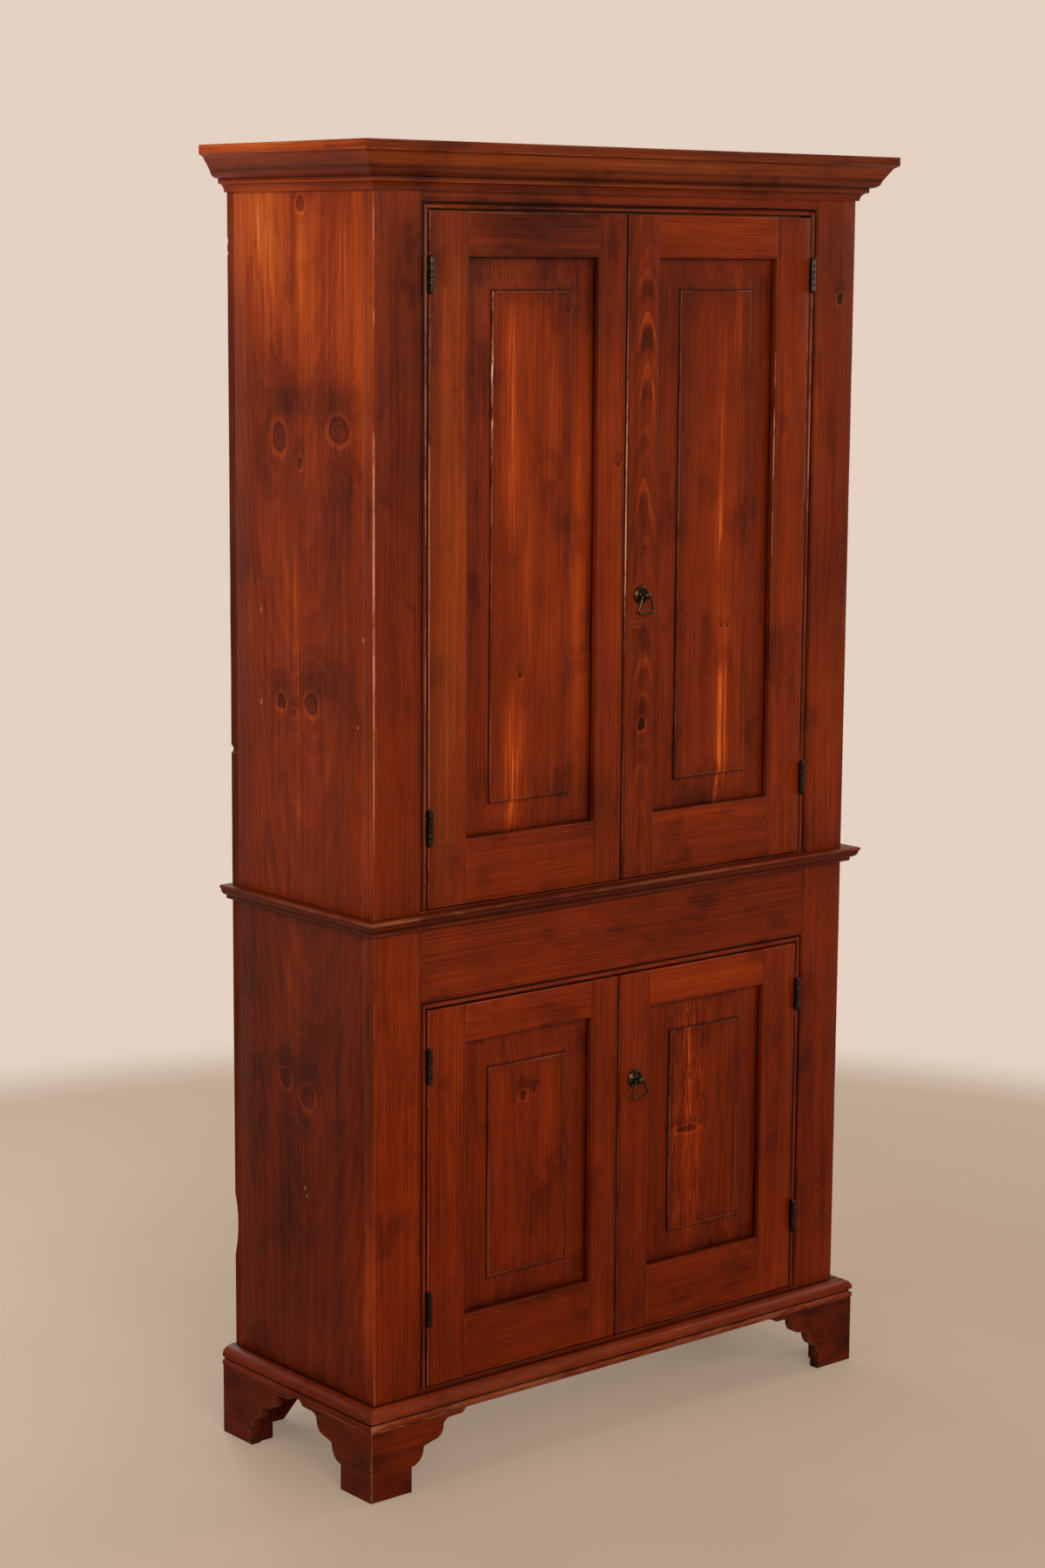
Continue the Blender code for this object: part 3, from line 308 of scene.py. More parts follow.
def pine(name, palette, knots=(), streaks=(), figured=(), flames=(), dents=(), late=-0.08, spacing=0.0045,
         base=0.42, rough=0.36, sheen_wear=1.0, sway_by=0.06, mottle=0.31, smoked=-0.13):
    """Pine with growth rings that bend round knots, long streaks, fine fibres, darkening that is partly glaze
    and dirt and partly painted shade, and pale arrises that are partly wear and partly painted highlight.

    knots holds (across, along, radius, height to width, darkness); streaks (across, from, to, half width,
    amount); figured (across, from, to, half width, contrast), strips of bold wavy figure; flames (across,
    tip, half width, height, amount), pointed arches of pale wood with smoky insides; dents (across,
    along, radius, height to width), small bare spots.
    """
    t = Tree(bpy.data.materials.new(name))
    grain, seed = t.attribute("grain", "Vector"), t.attribute("seed", "Vector")
    tone, edge, dirt_and_shade = (t.attribute(given) for given in ("tone", "edge", "dirt_and_shade"))
    across, through, along = grain.split()
    pith_across, pith_depth, slope = seed.split()
    shift = seed.stretch((37.0, 53.0, 211.0))

    def spread(fine, long, detail=2.0, roughness=0.5):
        """Noise with so many patches to a metre across and along the grain."""
        return grain.stretch((fine, fine, long), shift).noise(detail, roughness)

    sway = spread(3.0, 1.1, 3.0) - 0.5
    ripple = spread(40.0, 7.0) - 0.5
    wobble = (spread(60.0, 45.0, 3.0) - 0.5) * 0.012
    bent = across + sway * sway_by + ripple * 0.0030

    phase_knots, knot_tone = 0.0, 0.0
    for k_across, k_along, radius, tall, dark in knots:
        side = (across + wobble - k_across) / radius
        up = (along + wobble - k_along) / (radius * tall)
        q = (side * side + up * up).math("SQRT")
        far_up = up * 0.50
        swell = ((side * side + far_up * far_up) * -0.25).math("EXPONENT")
        phase_knots = phase_knots + swell * (radius * 220.0 * min(1.0, tall))
        ring = (q * 15.0).math("SINE") * 0.035
        core = q.fade(0.95, 0.55) * (ring + -0.34 * dark)
        outline = q.fade(0.62, 0.80) * q.fade(1.00, 0.86) * -0.11
        halo = q.fade(0.86, 1.05) * q.fade(1.60, 1.12) * 0.15
        smudge_up = up * 0.55 - 0.8
        smudge_q = (side * side * 0.30 + smudge_up * smudge_up).math("SQRT")
        knot_tone = knot_tone + core + outline + halo + smudge_q.fade(1.6, 0.3) * -0.13

    # growth rings: late wood is the narrow dark or pale part of each
    depth = through + slope * along - pith_depth
    off = bent - pith_across
    turn = ((off * off + depth * depth).math("SQRT") / spacing + phase_knots).math("FRACT")
    late_wood = turn.fade(0.40, 0.86) * turn.fade(1.0, 0.93)
    figure = late_wood * spread(9.0, 1.3).fade(0.36, 0.62, 0.25, 1.0)

    fibre = spread(480.0, 8.0, 3.0, 0.65) - 0.5
    strand = spread(170.0, 3.0) - 0.5
    band = spread(26.0, 0.9, 4.0, 0.65) - 0.5
    cloud = spread(8.0, 4.4, 4.0, 0.62)
    smoke = spread(13.0, 8.0, 4.0, 0.6).fade(0.52, 0.70)

    light = 0.0
    if streaks:
        broken = spread(230.0, 5.0, 3.0).fade(0.42, 0.58, 0.25, 1.25) + fibre
    for s_across, s_from, s_to, half, amount in streaks:
        near = (across + sway * 0.03 + ripple * 0.014 - s_across) / half
        body = (near * near * -1.0).math("EXPONENT")
        reach = along.fade(s_from - 0.05, s_from + 0.05) * along.fade(s_to + 0.05, s_to - 0.05)
        light = light + body * reach * broken * amount
    for b_across, b_from, b_to, half, contrast in figured:
        near = ((across + ripple * 0.010 - b_across) / half).math("ABSOLUTE")
        reach = along.fade(b_from - 0.02, b_from + 0.03) * along.fade(b_to + 0.02, b_to - 0.03)
        wavy = spread(250.0, 26.0, 3.0, 0.6).fade(0.40, 0.58, -0.7, 1.0)
        light = light + near.fade(1.15, 0.80) * reach * wavy * contrast
    for f_across, tip, half, height, amount in flames:
        below = (ripple * 0.020 - along + tip) / height
        widening = below.math("MAXIMUM", 0.0005).math("POWER", 0.60)
        q = ((across + ripple * 0.006 - f_across) / half).math("ABSOLUTE") / widening
        line = q.fade(0.66, 0.92) * q.fade(1.30, 1.00) * below.fade(1.0, 0.45)
        point = q.fade(1.20, 0.85) * below.fade(0.50, 0.18)
        inside = q.fade(0.95, 0.55) * below.fade(1.15, 0.60) * below.fade(0.20, 0.45)
        pale = line.math("MAXIMUM", point) * below.fade(0.0, 0.06)
        light = light + pale * amount + inside * (amount * -0.60)

    # darkening in recesses, gaps, hollows and along the floor: glaze and dirt, and painted shade
    dirt_and_shade_darkening = dirt_and_shade * cloud.fade(0.30, 0.65, 0.70, 1.15)
    value = base + tone + figure * late + fibre * 0.36 + strand * 0.22 + band * mottle
    value = value + (cloud - 0.5) * mottle + smoke * smoked + light + knot_tone + dirt_and_shade_darkening * -0.42
    colour = value.ramp(palette)
    if palette is STAIN:
        browned = t.attribute("browned")
        colour = colour.mix(browned.fade(0.0, 1.0), colour.stretch((1.02, 1.55, 2.60)))
        colour = colour.mix(browned.fade(0.0, -1.0), colour.stretch((1.00, 0.80, 0.30)))

    # pale arrises: stain rubbed through to bare wood, and painted highlight along arrises that catch the light;
    # the palest are a painted glint
    chips = spread(150.0, 30.0, 4.0, 0.7)
    wear_and_highlight = edge * (chips + spread(14.0, 5.0)).fade(0.86, 1.16, 0.0, sheen_wear)
    pits = spread(620.0, 60.0, 1.0).fade(0.70, 0.75)
    colour = colour.mix(wear_and_highlight, t.mix(wear_and_highlight * wear_and_highlight, WORN_HIGHLIGHT_COLOUR, BARE_GLINT_COLOUR)).mix(pits * 0.55, PIT_COLOUR)
    for d_across, d_along, radius, tall in dents:
        side = (across + wobble * 0.25 - d_across) / radius
        up = (along + wobble * 0.4 - d_along) / (radius * tall)
        colour = colour.mix((side * side + up * up).fade(1.1, 0.6) * 0.75, DENT_COLOUR)
    t.surface("Base Color", colour)
    t.surface("Specular IOR Level", 0.07)
    smear = spread(18.0, 6.0, 3.0) - 0.5
    t.surface("Roughness", rough + smear * 0.20 + dirt_and_shade * 0.12 + figure * -0.05)
    t.bump(fibre * 0.35 + figure * 0.45 + pits * -1.4 + chips * 0.10, 0.00030, 0.55)
    return t.owner


def iron(name, dark, bright, rough):
    """Old dark metal: brown patina, rubbed brighter where it is handled."""
    t = Tree(bpy.data.materials.new(name))
    spot = t.node("TexCoord", output="Object")
    patina = spot.stretch((420.0, 420.0, 420.0)).noise(5.0, 0.65)
    cloud = spot.stretch((90.0, 90.0, 90.0)).noise()
    value = patina * 0.7 + cloud * 0.5 + t.attribute("edge") * 0.35 + -0.25
    between = [(a + b) / 2.6 for a, b in zip(dark, bright)]
    t.surface("Base Color", value.ramp([(0.15, dark), (0.55, between), (1.0, bright)]))
    t.surface("Metallic", 1.0)
    t.surface("Roughness", rough + patina * 0.22)
    t.bump(patina + cloud, 0.00025, 0.5)
    return t.owner


# Finishes
side_pine = pine(
    "upper_side_pine", STAIN, late=0.06, base=0.44, spacing=0.0050,
    knots=[(0.077, 1.637, 0.019, 1.30, 0.25), (-0.077, 1.654, 0.026, 0.80, -0.02),
           (0.023, 1.601, 0.009, 1.20, 0.30), (0.076, 1.229, 0.012, 1.20, 0.55),
           (-0.004, 1.232, 0.017, 1.05, 0.15), (0.040, 1.212, 0.006, 1.50, 0.25),
           (0.020, 1.992, 0.011, 1.30, 0.20)],
    streaks=[(0.036, 1.18, 1.46, 0.010, 0.20), (0.060, 1.26, 1.46, 0.008, 0.10),
             (0.020, 1.84, 1.97, 0.012, 0.14), (0.110, 1.78, 2.00, 0.045, 0.10),
             (-0.090, 1.70, 1.98, 0.016, 0.10), (0.038, 0.98, 1.17, 0.007, 0.12)],
    dents=[(-0.137, 1.344, 0.0014, 2.6), (-0.124, 1.209, 0.0014, 1.8), (0.127, 1.366, 0.0013, 5.0),
           (0.129, 1.222, 0.0013, 4.0)])
lower_side_pine = pine(
    "lower_side_pine", STAIN, late=0.05, base=0.33, spacing=0.0050,
    knots=[(0.069, 0.627, 0.015, 1.05, 0.05), (0.010, 0.607, 0.019, 1.00, -0.05)],
    streaks=[(0.062, 0.72, 0.84, 0.010, 0.16), (0.050, 0.36, 0.56, 0.016, -0.16),
             (-0.110, 0.22, 0.46, 0.008, 0.10), (0.120, 0.30, 0.52, 0.014, 0.06)],
    dents=[(0.018, 0.456, 0.0013, 3.0), (0.012, 0.444, 0.0012, 2.4)])
frame_pine = pine("face_frame_pine", STAIN, late=-0.12, base=0.43, spacing=0.0046, sway_by=0.02,
                  knots=[(0.470, 1.848, 0.008, 1.10, 0.7), (-0.143, 1.920, 0.005, 1.30, 0.7)])
stile_pine = pine("hinge_stile_pine", STAIN, late=-0.07, base=0.43, spacing=0.0050, sway_by=0.02)
flame_pine = pine(
    "meeting_stile_pine", STAIN, late=0.09, base=0.40, spacing=0.0060, sway_by=0.022,
    knots=[(0.039, 1.172, 0.008, 1.35, 0.9)],
    flames=[(0.040, 1.898, 0.023, 0.060, 0.14), (0.041, 1.830, 0.022, 0.070, 0.24),
            (0.040, 1.756, 0.021, 0.100, 0.18), (0.037, 1.655, 0.017, 0.050, 0.08),
            (0.037, 1.570, 0.020, 0.090, 0.18), (0.041, 1.475, 0.015, 0.045, 0.11),
            (0.041, 1.348, 0.016, 0.045, 0.05), (0.042, 1.286, 0.022, 0.060, 0.12),
            (0.042, 1.226, 0.015, 0.034, 0.11), (0.036, 1.120, 0.018, 0.080, 0.05)])
left_meeting_pine = pine("left_meeting_stile_pine", STAIN, late=-0.11, base=0.43, spacing=0.0040, sway_by=0.02,
                         knots=[(-0.018, 1.593, 0.0045, 1.20, 0.8)])
rail_pine = pine("door_rail_pine", STAIN, late=-0.10, base=0.44, spacing=0.0040, sway_by=0.02)
left_panel_pine = pine(
    "left_panel_pine", STAIN, late=0.07, base=0.41, spacing=0.0060, sway_by=0.04,
    knots=[(-0.212, 1.271, 0.005, 1.30, 0.5), (-0.200, 0.594, 0.008, 1.10, 0.3),
           (-0.178, 0.600, 0.005, 1.10, 0.3)],
    streaks=[(-0.234, 1.50, 1.82, 0.012, 0.17), (-0.229, 1.02, 1.26, 0.012, 0.25),
             (-0.200, 1.30, 1.50, 0.008, 0.10), (-0.150, 1.52, 1.80, 0.010, 0.08),
             (-0.120, 1.10, 1.40, 0.008, 0.08)])
right_panel_pine = pine(
    "right_panel_pine", STAIN, late=0.07, base=0.41, spacing=0.0060, sway_by=0.04,
    knots=[(0.216, 1.318, 0.0032, 1.20, 0.8), (0.229, 1.318, 0.0032, 1.20, 0.8),
           (0.162, 0.567, 0.005, 1.80, 0.2), (0.157, 0.477, 0.026, 0.26, 0.4)],
    streaks=[(0.218, 0.98, 1.25, 0.005, 0.30), (0.230, 1.02, 1.34, 0.004, 0.20),
             (0.214, 1.30, 1.52, 0.004, 0.18), (0.212, 1.44, 1.80, 0.008, 0.16),
             (0.246, 1.76, 1.88, 0.007, 0.16), (0.268, 1.05, 1.40, 0.012, 0.08),
             (0.158, 0.50, 0.68, 0.009, 0.28)],
    figured=[(0.158, 0.30, 0.69, 0.036, 0.10)])
moulding_pine = pine("moulding_pine", STAIN, late=-0.08, base=0.41, spacing=0.0036, sway_by=0.02, mottle=0.26)
# the feet's low base tone is painted shade under the base moulding, darker towards the floor
foot_pine = pine("foot_pine", STAIN, late=-0.05, base=0.27, rough=0.40)
back_pine = pine("back_pine", STAIN, late=-0.10, base=0.37, rough=0.62, sheen_wear=0.5, mottle=0.28,
                 smoked=-0.05)
bare_pine = pine("bare_pine", BARE, late=-0.09, base=0.56, rough=0.62, sheen_wear=0.2, mottle=0.2, smoked=-0.06)
dark_iron = iron("aged_iron", (0.007, 0.005, 0.0035), (0.115, 0.080, 0.054), 0.18)
brown_metal = iron("handle_metal", (0.010, 0.006, 0.003), (0.150, 0.088, 0.040), 0.15)

# Slot names for the finishes, "stained_pine" for the others; the script reads them only to treat the metals as
# handled
SLOTS = {moulding_pine: "pine_moulding", left_panel_pine: "pine_panel", right_panel_pine: "pine_panel",
         back_pine: "back_pine", bare_pine: "bare_pine", dark_iron: "aged_iron", brown_metal: "aged_iron"}


def spread_at(point, spots):
    """Sum of soft spots at a point, each given as centre, radii and amount."""
    total = 0.0
    for centre, radii, amount in spots:
        q = sum(((p - c) / r) ** 2 for p, c, r in zip(point, centre, radii))
        total += amount * math.exp(-q)
    return total


def seed_for(width, middle, figure):
    """Where the heart of the tree lay: near the board for a cathedral figure, far off for straight grain."""
    if figure == "straight":
        return (middle + dice.choice((-1, 1)) * dice.uniform(0.20, 0.30), dice.uniform(-0.05, 0.05),
                dice.uniform(-0.006, 0.006))
    return (middle + dice.uniform(-0.15, 0.15) * width, dice.choice((-1, 1)) * dice.uniform(0.03, 0.06),
            dice.choice((-1, 1)) * dice.uniform(0.035, 0.055))


def crease(mesh, angle):
    mesh.shade_smooth()
    mesh.set_sharp_from_angle(angle=angle)


def add_object(name, bm, body, material, nodes=(), axes=STILE, seed=(0.3, 0.0, 0.0), tone=0.0):
    """Turn a bmesh into a piece with its grain coordinates, on its body, in place of its nodes."""
    slot = SLOTS.get(material, "stained_pine")
    bmesh.ops.remove_doubles(bm, verts=bm.verts, dist=SAME_POINT)
    bmesh.ops.recalc_face_normals(bm, faces=bm.faces)
    mesh = bpy.data.meshes.new(name)
    bm.to_mesh(mesh)
    bm.free()
    obj = bpy.data.objects.new(name, mesh)
    bpy.context.collection.objects.link(obj)
    mesh.materials.append(material)
    crease(mesh, WOOD_CREASE)
    write_grain(mesh, axes, seed, tone, handled=slot == "aged_iron")
    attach(obj, body)
    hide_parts(*nodes)
    return obj


def write_grain(mesh, axes, seed, tone, handled):
    """Store where each point lies in its board, where the heart was, and the stain and wear there, together
    with the painted highlights on arrises and the painted light in the tone.
    """
    points = [vertex.co.copy() for vertex in mesh.vertices]
    edges = [0.0] * len(points)
    if "edge" in mesh.attributes:
        mesh.attributes["edge"].data.foreach_get("value", edges)
    # how pale each arris point is: usual wear and highlight plus the listed spots of wear and painted
    # highlight; metals in full
    wear = [1.0 if handled else USUAL_WEAR_AND_HIGHLIGHT + spread_at(point, WEAR_AND_HIGHLIGHT_SPOTS) for point in points]
    stored = {"edge": [e * max(0.0, min(w, 1.0)) for e, w in zip(edges, wear)],
              "grain": [point[axis] for point in points for axis in axes],
              "seed": list(seed) * len(points),
              "tone": [tone + spread_at(point, PATCHES) for point in points],
              "browned": [spread_at(point, BROWNED) for point in points]}
    if "dirt_and_shade" not in mesh.attributes:
        stored["dirt_and_shade"] = [0.0] * len(points)
    for name, values in stored.items():
        kind, field = ("FLOAT_VECTOR", "vector") if name in ("grain", "seed") else ("FLOAT", "value")
        if name not in mesh.attributes:
            mesh.attributes.new(name, kind, "POINT")
        mesh.attributes[name].data.foreach_set(field, values)


def lay(axes, across, through, along):
    """The point so far across, through and along a board."""
    point = Vector((0.0, 0.0, 0.0))
    for axis, value in zip(axes, (across, through, along)):
        point[axis] = value
    return point


def surface_layers(bm):
    """The layers that carry pale arrises (wear and painted highlight) and darkening (dirt and painted shade)
    from point to point.
    """
    layers = bm.verts.layers.float
    return [layers.get(name) or layers.new(name) for name in ("edge", "dirt_and_shade")]


def loft(bm, rings, closed=False):
    """Skin rings of (point, pale arris, darkening of dirt and painted shade), with caps unless closed."""
    edge, dirt_and_shade = surface_layers(bm)
    loops = []
    for ring in rings:
        loops.append([bm.verts.new(point) for point, _, _ in ring])
        for vert, (_, e, g) in zip(loops[-1], ring):
            vert[edge], vert[dirt_and_shade] = e, g
    pairs = list(zip(loops, loops[1:]))
    if closed:
        pairs.append((loops[-1], loops[0]))
    count = len(loops[0])
    for low, high in pairs:
        for i in range(count):
            j = (i + 1) % count
            bm.faces.new((low[i], low[j], high[j], high[i]))
    if not closed:
        bm.faces.new(list(reversed(loops[0])))
        bm.faces.new(loops[-1])


def sweep(outline, levels, place):
    """A mesh that carries an outline of (a, b, pale arris, darkening) through levels; place(level, a, b) is the
    point.
    """
    bm = bmesh.new()
    loft(bm, [[(place(level, a, b), e, g) for a, b, e, g in outline] for level in levels])
    return bm


def toward(start, end, distance):
    """The point so far from start towards end, but never as far as the middle."""
    gap = Vector(end) - Vector(start)
    nearly_half = 0.42
    return Vector(start) + gap * min(distance / max(gap.length, 1e-9), nearly_half)


def section(corners, spacing=0.045):
    """A closed outline with rounded corners, pale from wear and painted highlight and darkened by dirt and
    painted shade as given: corners hold (across, through, radius, edge, darkening).

    Points beside each corner keep its pale arris or its darkening from spreading over the flats.
    """
    pale_arris_reach, darkening_reach, too_close = 0.0012, 0.006, 0.0003
    outline = []
    for i, (a, b, radius, e, g) in enumerate(corners):
        here = Vector((a, b))
        before, after = Vector(corners[i - 1][:2]), Vector(corners[(i + 1) % len(corners)][:2])
        first, last = toward(here, before, radius), toward(here, after, radius)
        guards = [(pale_arris_reach, 0.7 * g)] if e else []
        guards += [(darkening_reach, 0.0)] if g else []
        beside = [[(*toward(here, far, radius + guard), 0.0, shade_and_dirt) for guard, shade_and_dirt in guards]
                  for far in (before, after)]
        for points in beside:
            if len(points) == 2 and (Vector(points[0][:2]) - Vector(points[1][:2])).length < too_close:
                points.pop(0)
        outline += reversed(beside[0])
        if radius:
            for s in (0.0, 1 / 3, 2 / 3, 1.0):
                bow = first * (1 - s) ** 2 + here * 2 * s * (1 - s) + last * s ** 2
                outline.append((*bow, e, g))
        else:
            outline.append((a, b, e, g))
        outline += beside[1]
    filled = []
    for point, following in zip(outline, outline[1:] + outline[:1]):
        filled.append(point)
        gap = (Vector(following[:2]) - Vector(point[:2])).length
        extra = int(gap / spacing)
        for k in range(1, extra + 1):
            s = k / (extra + 1)
            filled.append(tuple(p + (f - p) * s for p, f in zip(point, following)))
    return filled


def stations(low, high, step=0.05):
    """Evenly spaced levels between two ends, without the ends."""
    count = max(2, round((high - low) / step))
    return [low + (high - low) * i / count for i in range(1, count)]


def plank_mesh(outline, low, high, axes, bites=(), chamfer=0.0008, wear=0.0004, end_edge=0.6):
    """A board with the given section, from low to high along its grain, its arrises a little uneven.

    bites (level, half length, depth) are hollows in the edge at the low end of its width.
    """
    pale_arris_reach, bite_reach = 0.0015, 0.004
    across, through = [p[0] for p in outline], [p[1] for p in outline]
    middle = ((min(across) + max(across)) / 2, (min(through) + max(through)) / 2)
    half = ((max(across) - min(across)) / 2 - chamfer, (max(through) - min(through)) / 2 - chamfer)
    # each place is a level, whether it is a chamfered end, and the wear there
    places = [(low, True, end_edge), (low + chamfer, False, end_edge), (low + chamfer + pale_arris_reach, False, 0.0)]
    places += [(level, False, 0.0) for level in stations(low + 0.01, high - 0.01)]
    places += [(level + half_bite * k / 4, False, 0.0) for level, half_bite, _ in bites for k in range(-4, 5)]
    places.sort()
    places += [(high - chamfer - pale_arris_reach, False, 0.0), (high - chamfer, False, end_edge),
               (high, True, end_edge)]
    rings = []
    for level, end, least in places:
        ring = []
        for a, b, e, g in outline:
            if end:
                a = max(min(a, middle[0] + half[0]), middle[0] - half[0])
                b = max(min(b, middle[1] + half[1]), middle[1] - half[1])
            elif e:
                pull = wear * (0.5 + 0.5 * noise.noise(Vector((a * 31, b * 31, level * 19))))
                a -= math.copysign(pull, a - middle[0])
                b -= math.copysign(pull, b - middle[1])
            if bites and a - min(across) < bite_reach:
                a += sum(d * max(0.0, 1 - ((level - c) / h) ** 2) for c, h, d in bites)
            ring.append((lay(axes, a, b, level), max(e, least), g))
        rings.append(ring)
    bm = bmesh.new()
    loft(bm, rings)
    return bm


def plank(name, body, corners, low, high, axes, material, nodes, figure="straight", tone=0.0, seed=None,
          bites=()):
    """A board with its own grain and a slightly different tone."""
    outline = section(corners)
    across = [p[0] for p in outline]
    if seed is None:
        seed = seed_for(max(across) - min(across), (max(across) + min(across)) / 2, figure)
    tone += dice.uniform(-0.03, 0.03)
    board = plank_mesh(outline, low, high, axes, bites)
    return add_object(name, board, body, material, nodes, axes, seed, tone)


def box_corners(a0, a1, b0, b1, radius=0.0010, edge=1.0, back_edge=0.5):
    """A plain rectangular section; b0 is the face that shows."""
    return [(a0, b0, radius, edge, 0.0), (a1, b0, radius, edge, 0.0),
            (a1, b1, radius, back_edge, 0.0), (a0, b1, radius, back_edge, 0.0)]


def board_like(node, axes, material, figure="straight", flip=False):
    """A board with the box of its solid."""
    low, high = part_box(node)
    faces = (high[axes[1]], low[axes[1]]) if flip else (low[axes[1]], high[axes[1]])
    plank(f"{node}_pine", "case", box_corners(low[axes[0]], high[axes[0]], *faces), low[axes[2]], high[axes[2]],
          axes, material, (node,), figure)


def y_at(depth):
    """The y so far behind the front."""
    return FRONT_Y + depth


def cases():
    """Sides, tops, bottoms, shelves, stops and separate back boards."""
    for storey, shelves, left_material in (("upper", 3, side_pine), ("lower", 1, lower_side_pine)):
        for side, material in (("left", left_material), ("right", frame_pine)):
            board_like(f"{storey}_{side}_side", SIDE, material, "cathedral", flip=side == "right")
        for part in ["top_board", "bottom_board"] + [f"shelf_{i + 1}" for i in range(shelves)]:
            board_like(f"{storey}_{part}", SHELF, bare_pine, "cathedral")
        board_like(f"{storey}_door_stop", RAIL, bare_pine)
        low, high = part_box(f"{storey}_back")
        width = (high.x - low.x) / BACK_BOARDS
        for i in range(BACK_BOARDS):
            x0, x1 = low.x + i * width + BEAD_GAP, low.x + (i + 1) * width - BEAD_GAP
            corners = box_corners(x0, x1, high.y, low.y, 0.0016, 0.4, 0.4)
            plank(f"{storey}_back_board_{i + 1}", "case", corners, low.z, high.z, STILE, back_pine,
                  (f"{storey}_back",), "cathedral" if i % 2 else "straight", bites=() if i else BITES[storey])


def face_frames():
    """Two stiles and two rails round each opening, with hairline joints."""
    inner, joint = HALF_W - FRAME_STILE_W, 0.0002
    near, far = y_at(0), y_at(FRAME_T - FIT / 2)
    for storey in STOREYS:
        node = f"{storey}_face_frame"
        low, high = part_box(node)
        for side, sign in SIDES:
            corners = [(sign * HALF_W, near, 0.0015, 1.0, 0.0), (sign * inner, near, 0.0006, 0.3, 0.5),
                       (sign * inner, far, 0.0005, 0.0, 0.0), (sign * HALF_W, far, 0.0006, 0.4, 0.0)]
            plank(f"{storey}_frame_{side}_stile", "case", corners, low.z, high.z, STILE, frame_pine, (node,))
        rails = (("top", OPENING[storey][1] + STRIP_W, high.z), ("bottom", low.z, OPENING[storey][0]))
        for where, z0, z1 in rails:
            corners = [(z0, near, 0.0007, 0.3, 0.3), (z1, near, 0.0007, 0.3, 0.3),
                       (z1, far, 0.0005, 0.0, 0.0), (z0, far, 0.0005, 0.0, 0.0)]
            plank(f"{storey}_frame_{where}_rail", "case", corners, -inner + joint, inner - joint, RAIL,
                  frame_pine, (node,), tone=-0.01)


def beads():
    """Round bead and quirk up the sides and across the top of each opening, mitred."""
    far = FRAME_T - FIT / 2
    outline = [(0.0, far, 0.0, 0.0)]
    for i in range(13):
        a = math.radians(180 + 180 * i / 12)
        # a pale line along the bead's crest, painted highlight; darker towards the quirk and the bead's sides,
        # painted shade
        wear_and_highlight, shade_and_dirt = 0.9 * max(0.0, math.sin(a + math.pi)) ** 24, 1 - abs(math.sin(a))
        outline.append((BEAD_R + BEAD_R * math.cos(a), BEAD_R + BEAD_R * math.sin(a), wear_and_highlight, shade_and_dirt))
    outline += [(2 * BEAD_R, QUIRK_DEPTH, 0.0, 1.0), (STRIP_W - FIT, QUIRK_DEPTH, 0.0, 1.0),
                (STRIP_W - FIT, far, 0.0, 0.0)]

    for storey in STOREYS:
        low, high = OPENING[storey]

        def piece(where, levels, place, axes, middle, tone):
            return add_object(f"{storey}_bead_{where}", sweep(outline, levels, place), "case", moulding_pine,
                              (f"{storey}_opening_bead",), axes, seed_for(0.01, middle, "straight"), tone)

        def across_top(x, w, d):
            end = OPEN_HALF + w - BEAD_GAP
            return Vector((max(-end, min(x, end)), y_at(d), high + w))

        for side, sign in SIDES:
            bead = piece(side, [low + FIT] + stations(low, high) + [math.inf],
                         lambda z, w, d: Vector((sign * (OPEN_HALF + w), y_at(d), min(z, high + w - BEAD_GAP))),
                         STILE, 0.4, -0.06)
            cut_pockets(bead, sign * OPEN_HALF, HINGE_Z[storey])
        piece("top", [-math.inf] + stations(-OPEN_HALF, OPEN_HALF) + [math.inf], across_top, RAIL, 2.0, -0.03)


def box_mesh(x, y, z):
    """A box between pairs of numbers, as a tool for combine."""
    bm = bmesh.new()
    size = (abs(x[1] - x[0]), abs(y[1] - y[0]), abs(z[1] - z[0]), 1.0)
    middle = Vector(((x[0] + x[1]) / 2, (y[0] + y[1]) / 2, (z[0] + z[1]) / 2))
    bmesh.ops.create_cube(bm, size=1.0, matrix=Matrix.Translation(middle) @ Matrix.Diagonal(size))
    return bm


def combine(obj, tool, operation):
    """Add a tool mesh to a piece, or cut it out of it."""
    bmesh.ops.recalc_face_normals(tool, faces=tool.faces)
    mesh = bpy.data.meshes.new("tool")
    tool.to_mesh(mesh)
    tool.free()
    helper = bpy.data.objects.new("tool", mesh)
    bpy.context.collection.objects.link(helper)
    modifier = obj.modifiers.new("combine", "BOOLEAN")
    modifier.operation = operation
    modifier.solver = "EXACT"
    modifier.object = helper
    bpy.context.view_layer.update()
    graph = bpy.context.evaluated_depsgraph_get()
    result = bpy.data.meshes.new_from_object(obj.evaluated_get(graph))
    obj.modifiers.clear()
    clean = bmesh.new()
    clean.from_mesh(result)
    bmesh.ops.dissolve_degenerate(clean, dist=SAME_POINT, edges=clean.edges)
    clean.to_mesh(result)
    clean.free()
    old = obj.data
    obj.data = result
    bpy.data.meshes.remove(old)
    bpy.data.objects.remove(helper)
    bpy.data.meshes.remove(mesh)


def cut_pockets(piece, x, levels):
    """Beds for hinge leaves in an edge at x."""
    half = HINGE_L / 2 + FIT
    for level in levels:
        combine(piece, box_mesh((x - LEAF_BED, x + LEAF_BED), (y_at(-0.012), y_at(LEAF_DEPTH + FIT)),
                                (level - half, level + half)), "DIFFERENCE")


def uneven(along, z):
    """The small rise and fall of a moulding planed by hand."""
    return 0.00009 * (noise.noise(Vector((along * 9.0, z * 20.0, 3.1))) - 1.0)


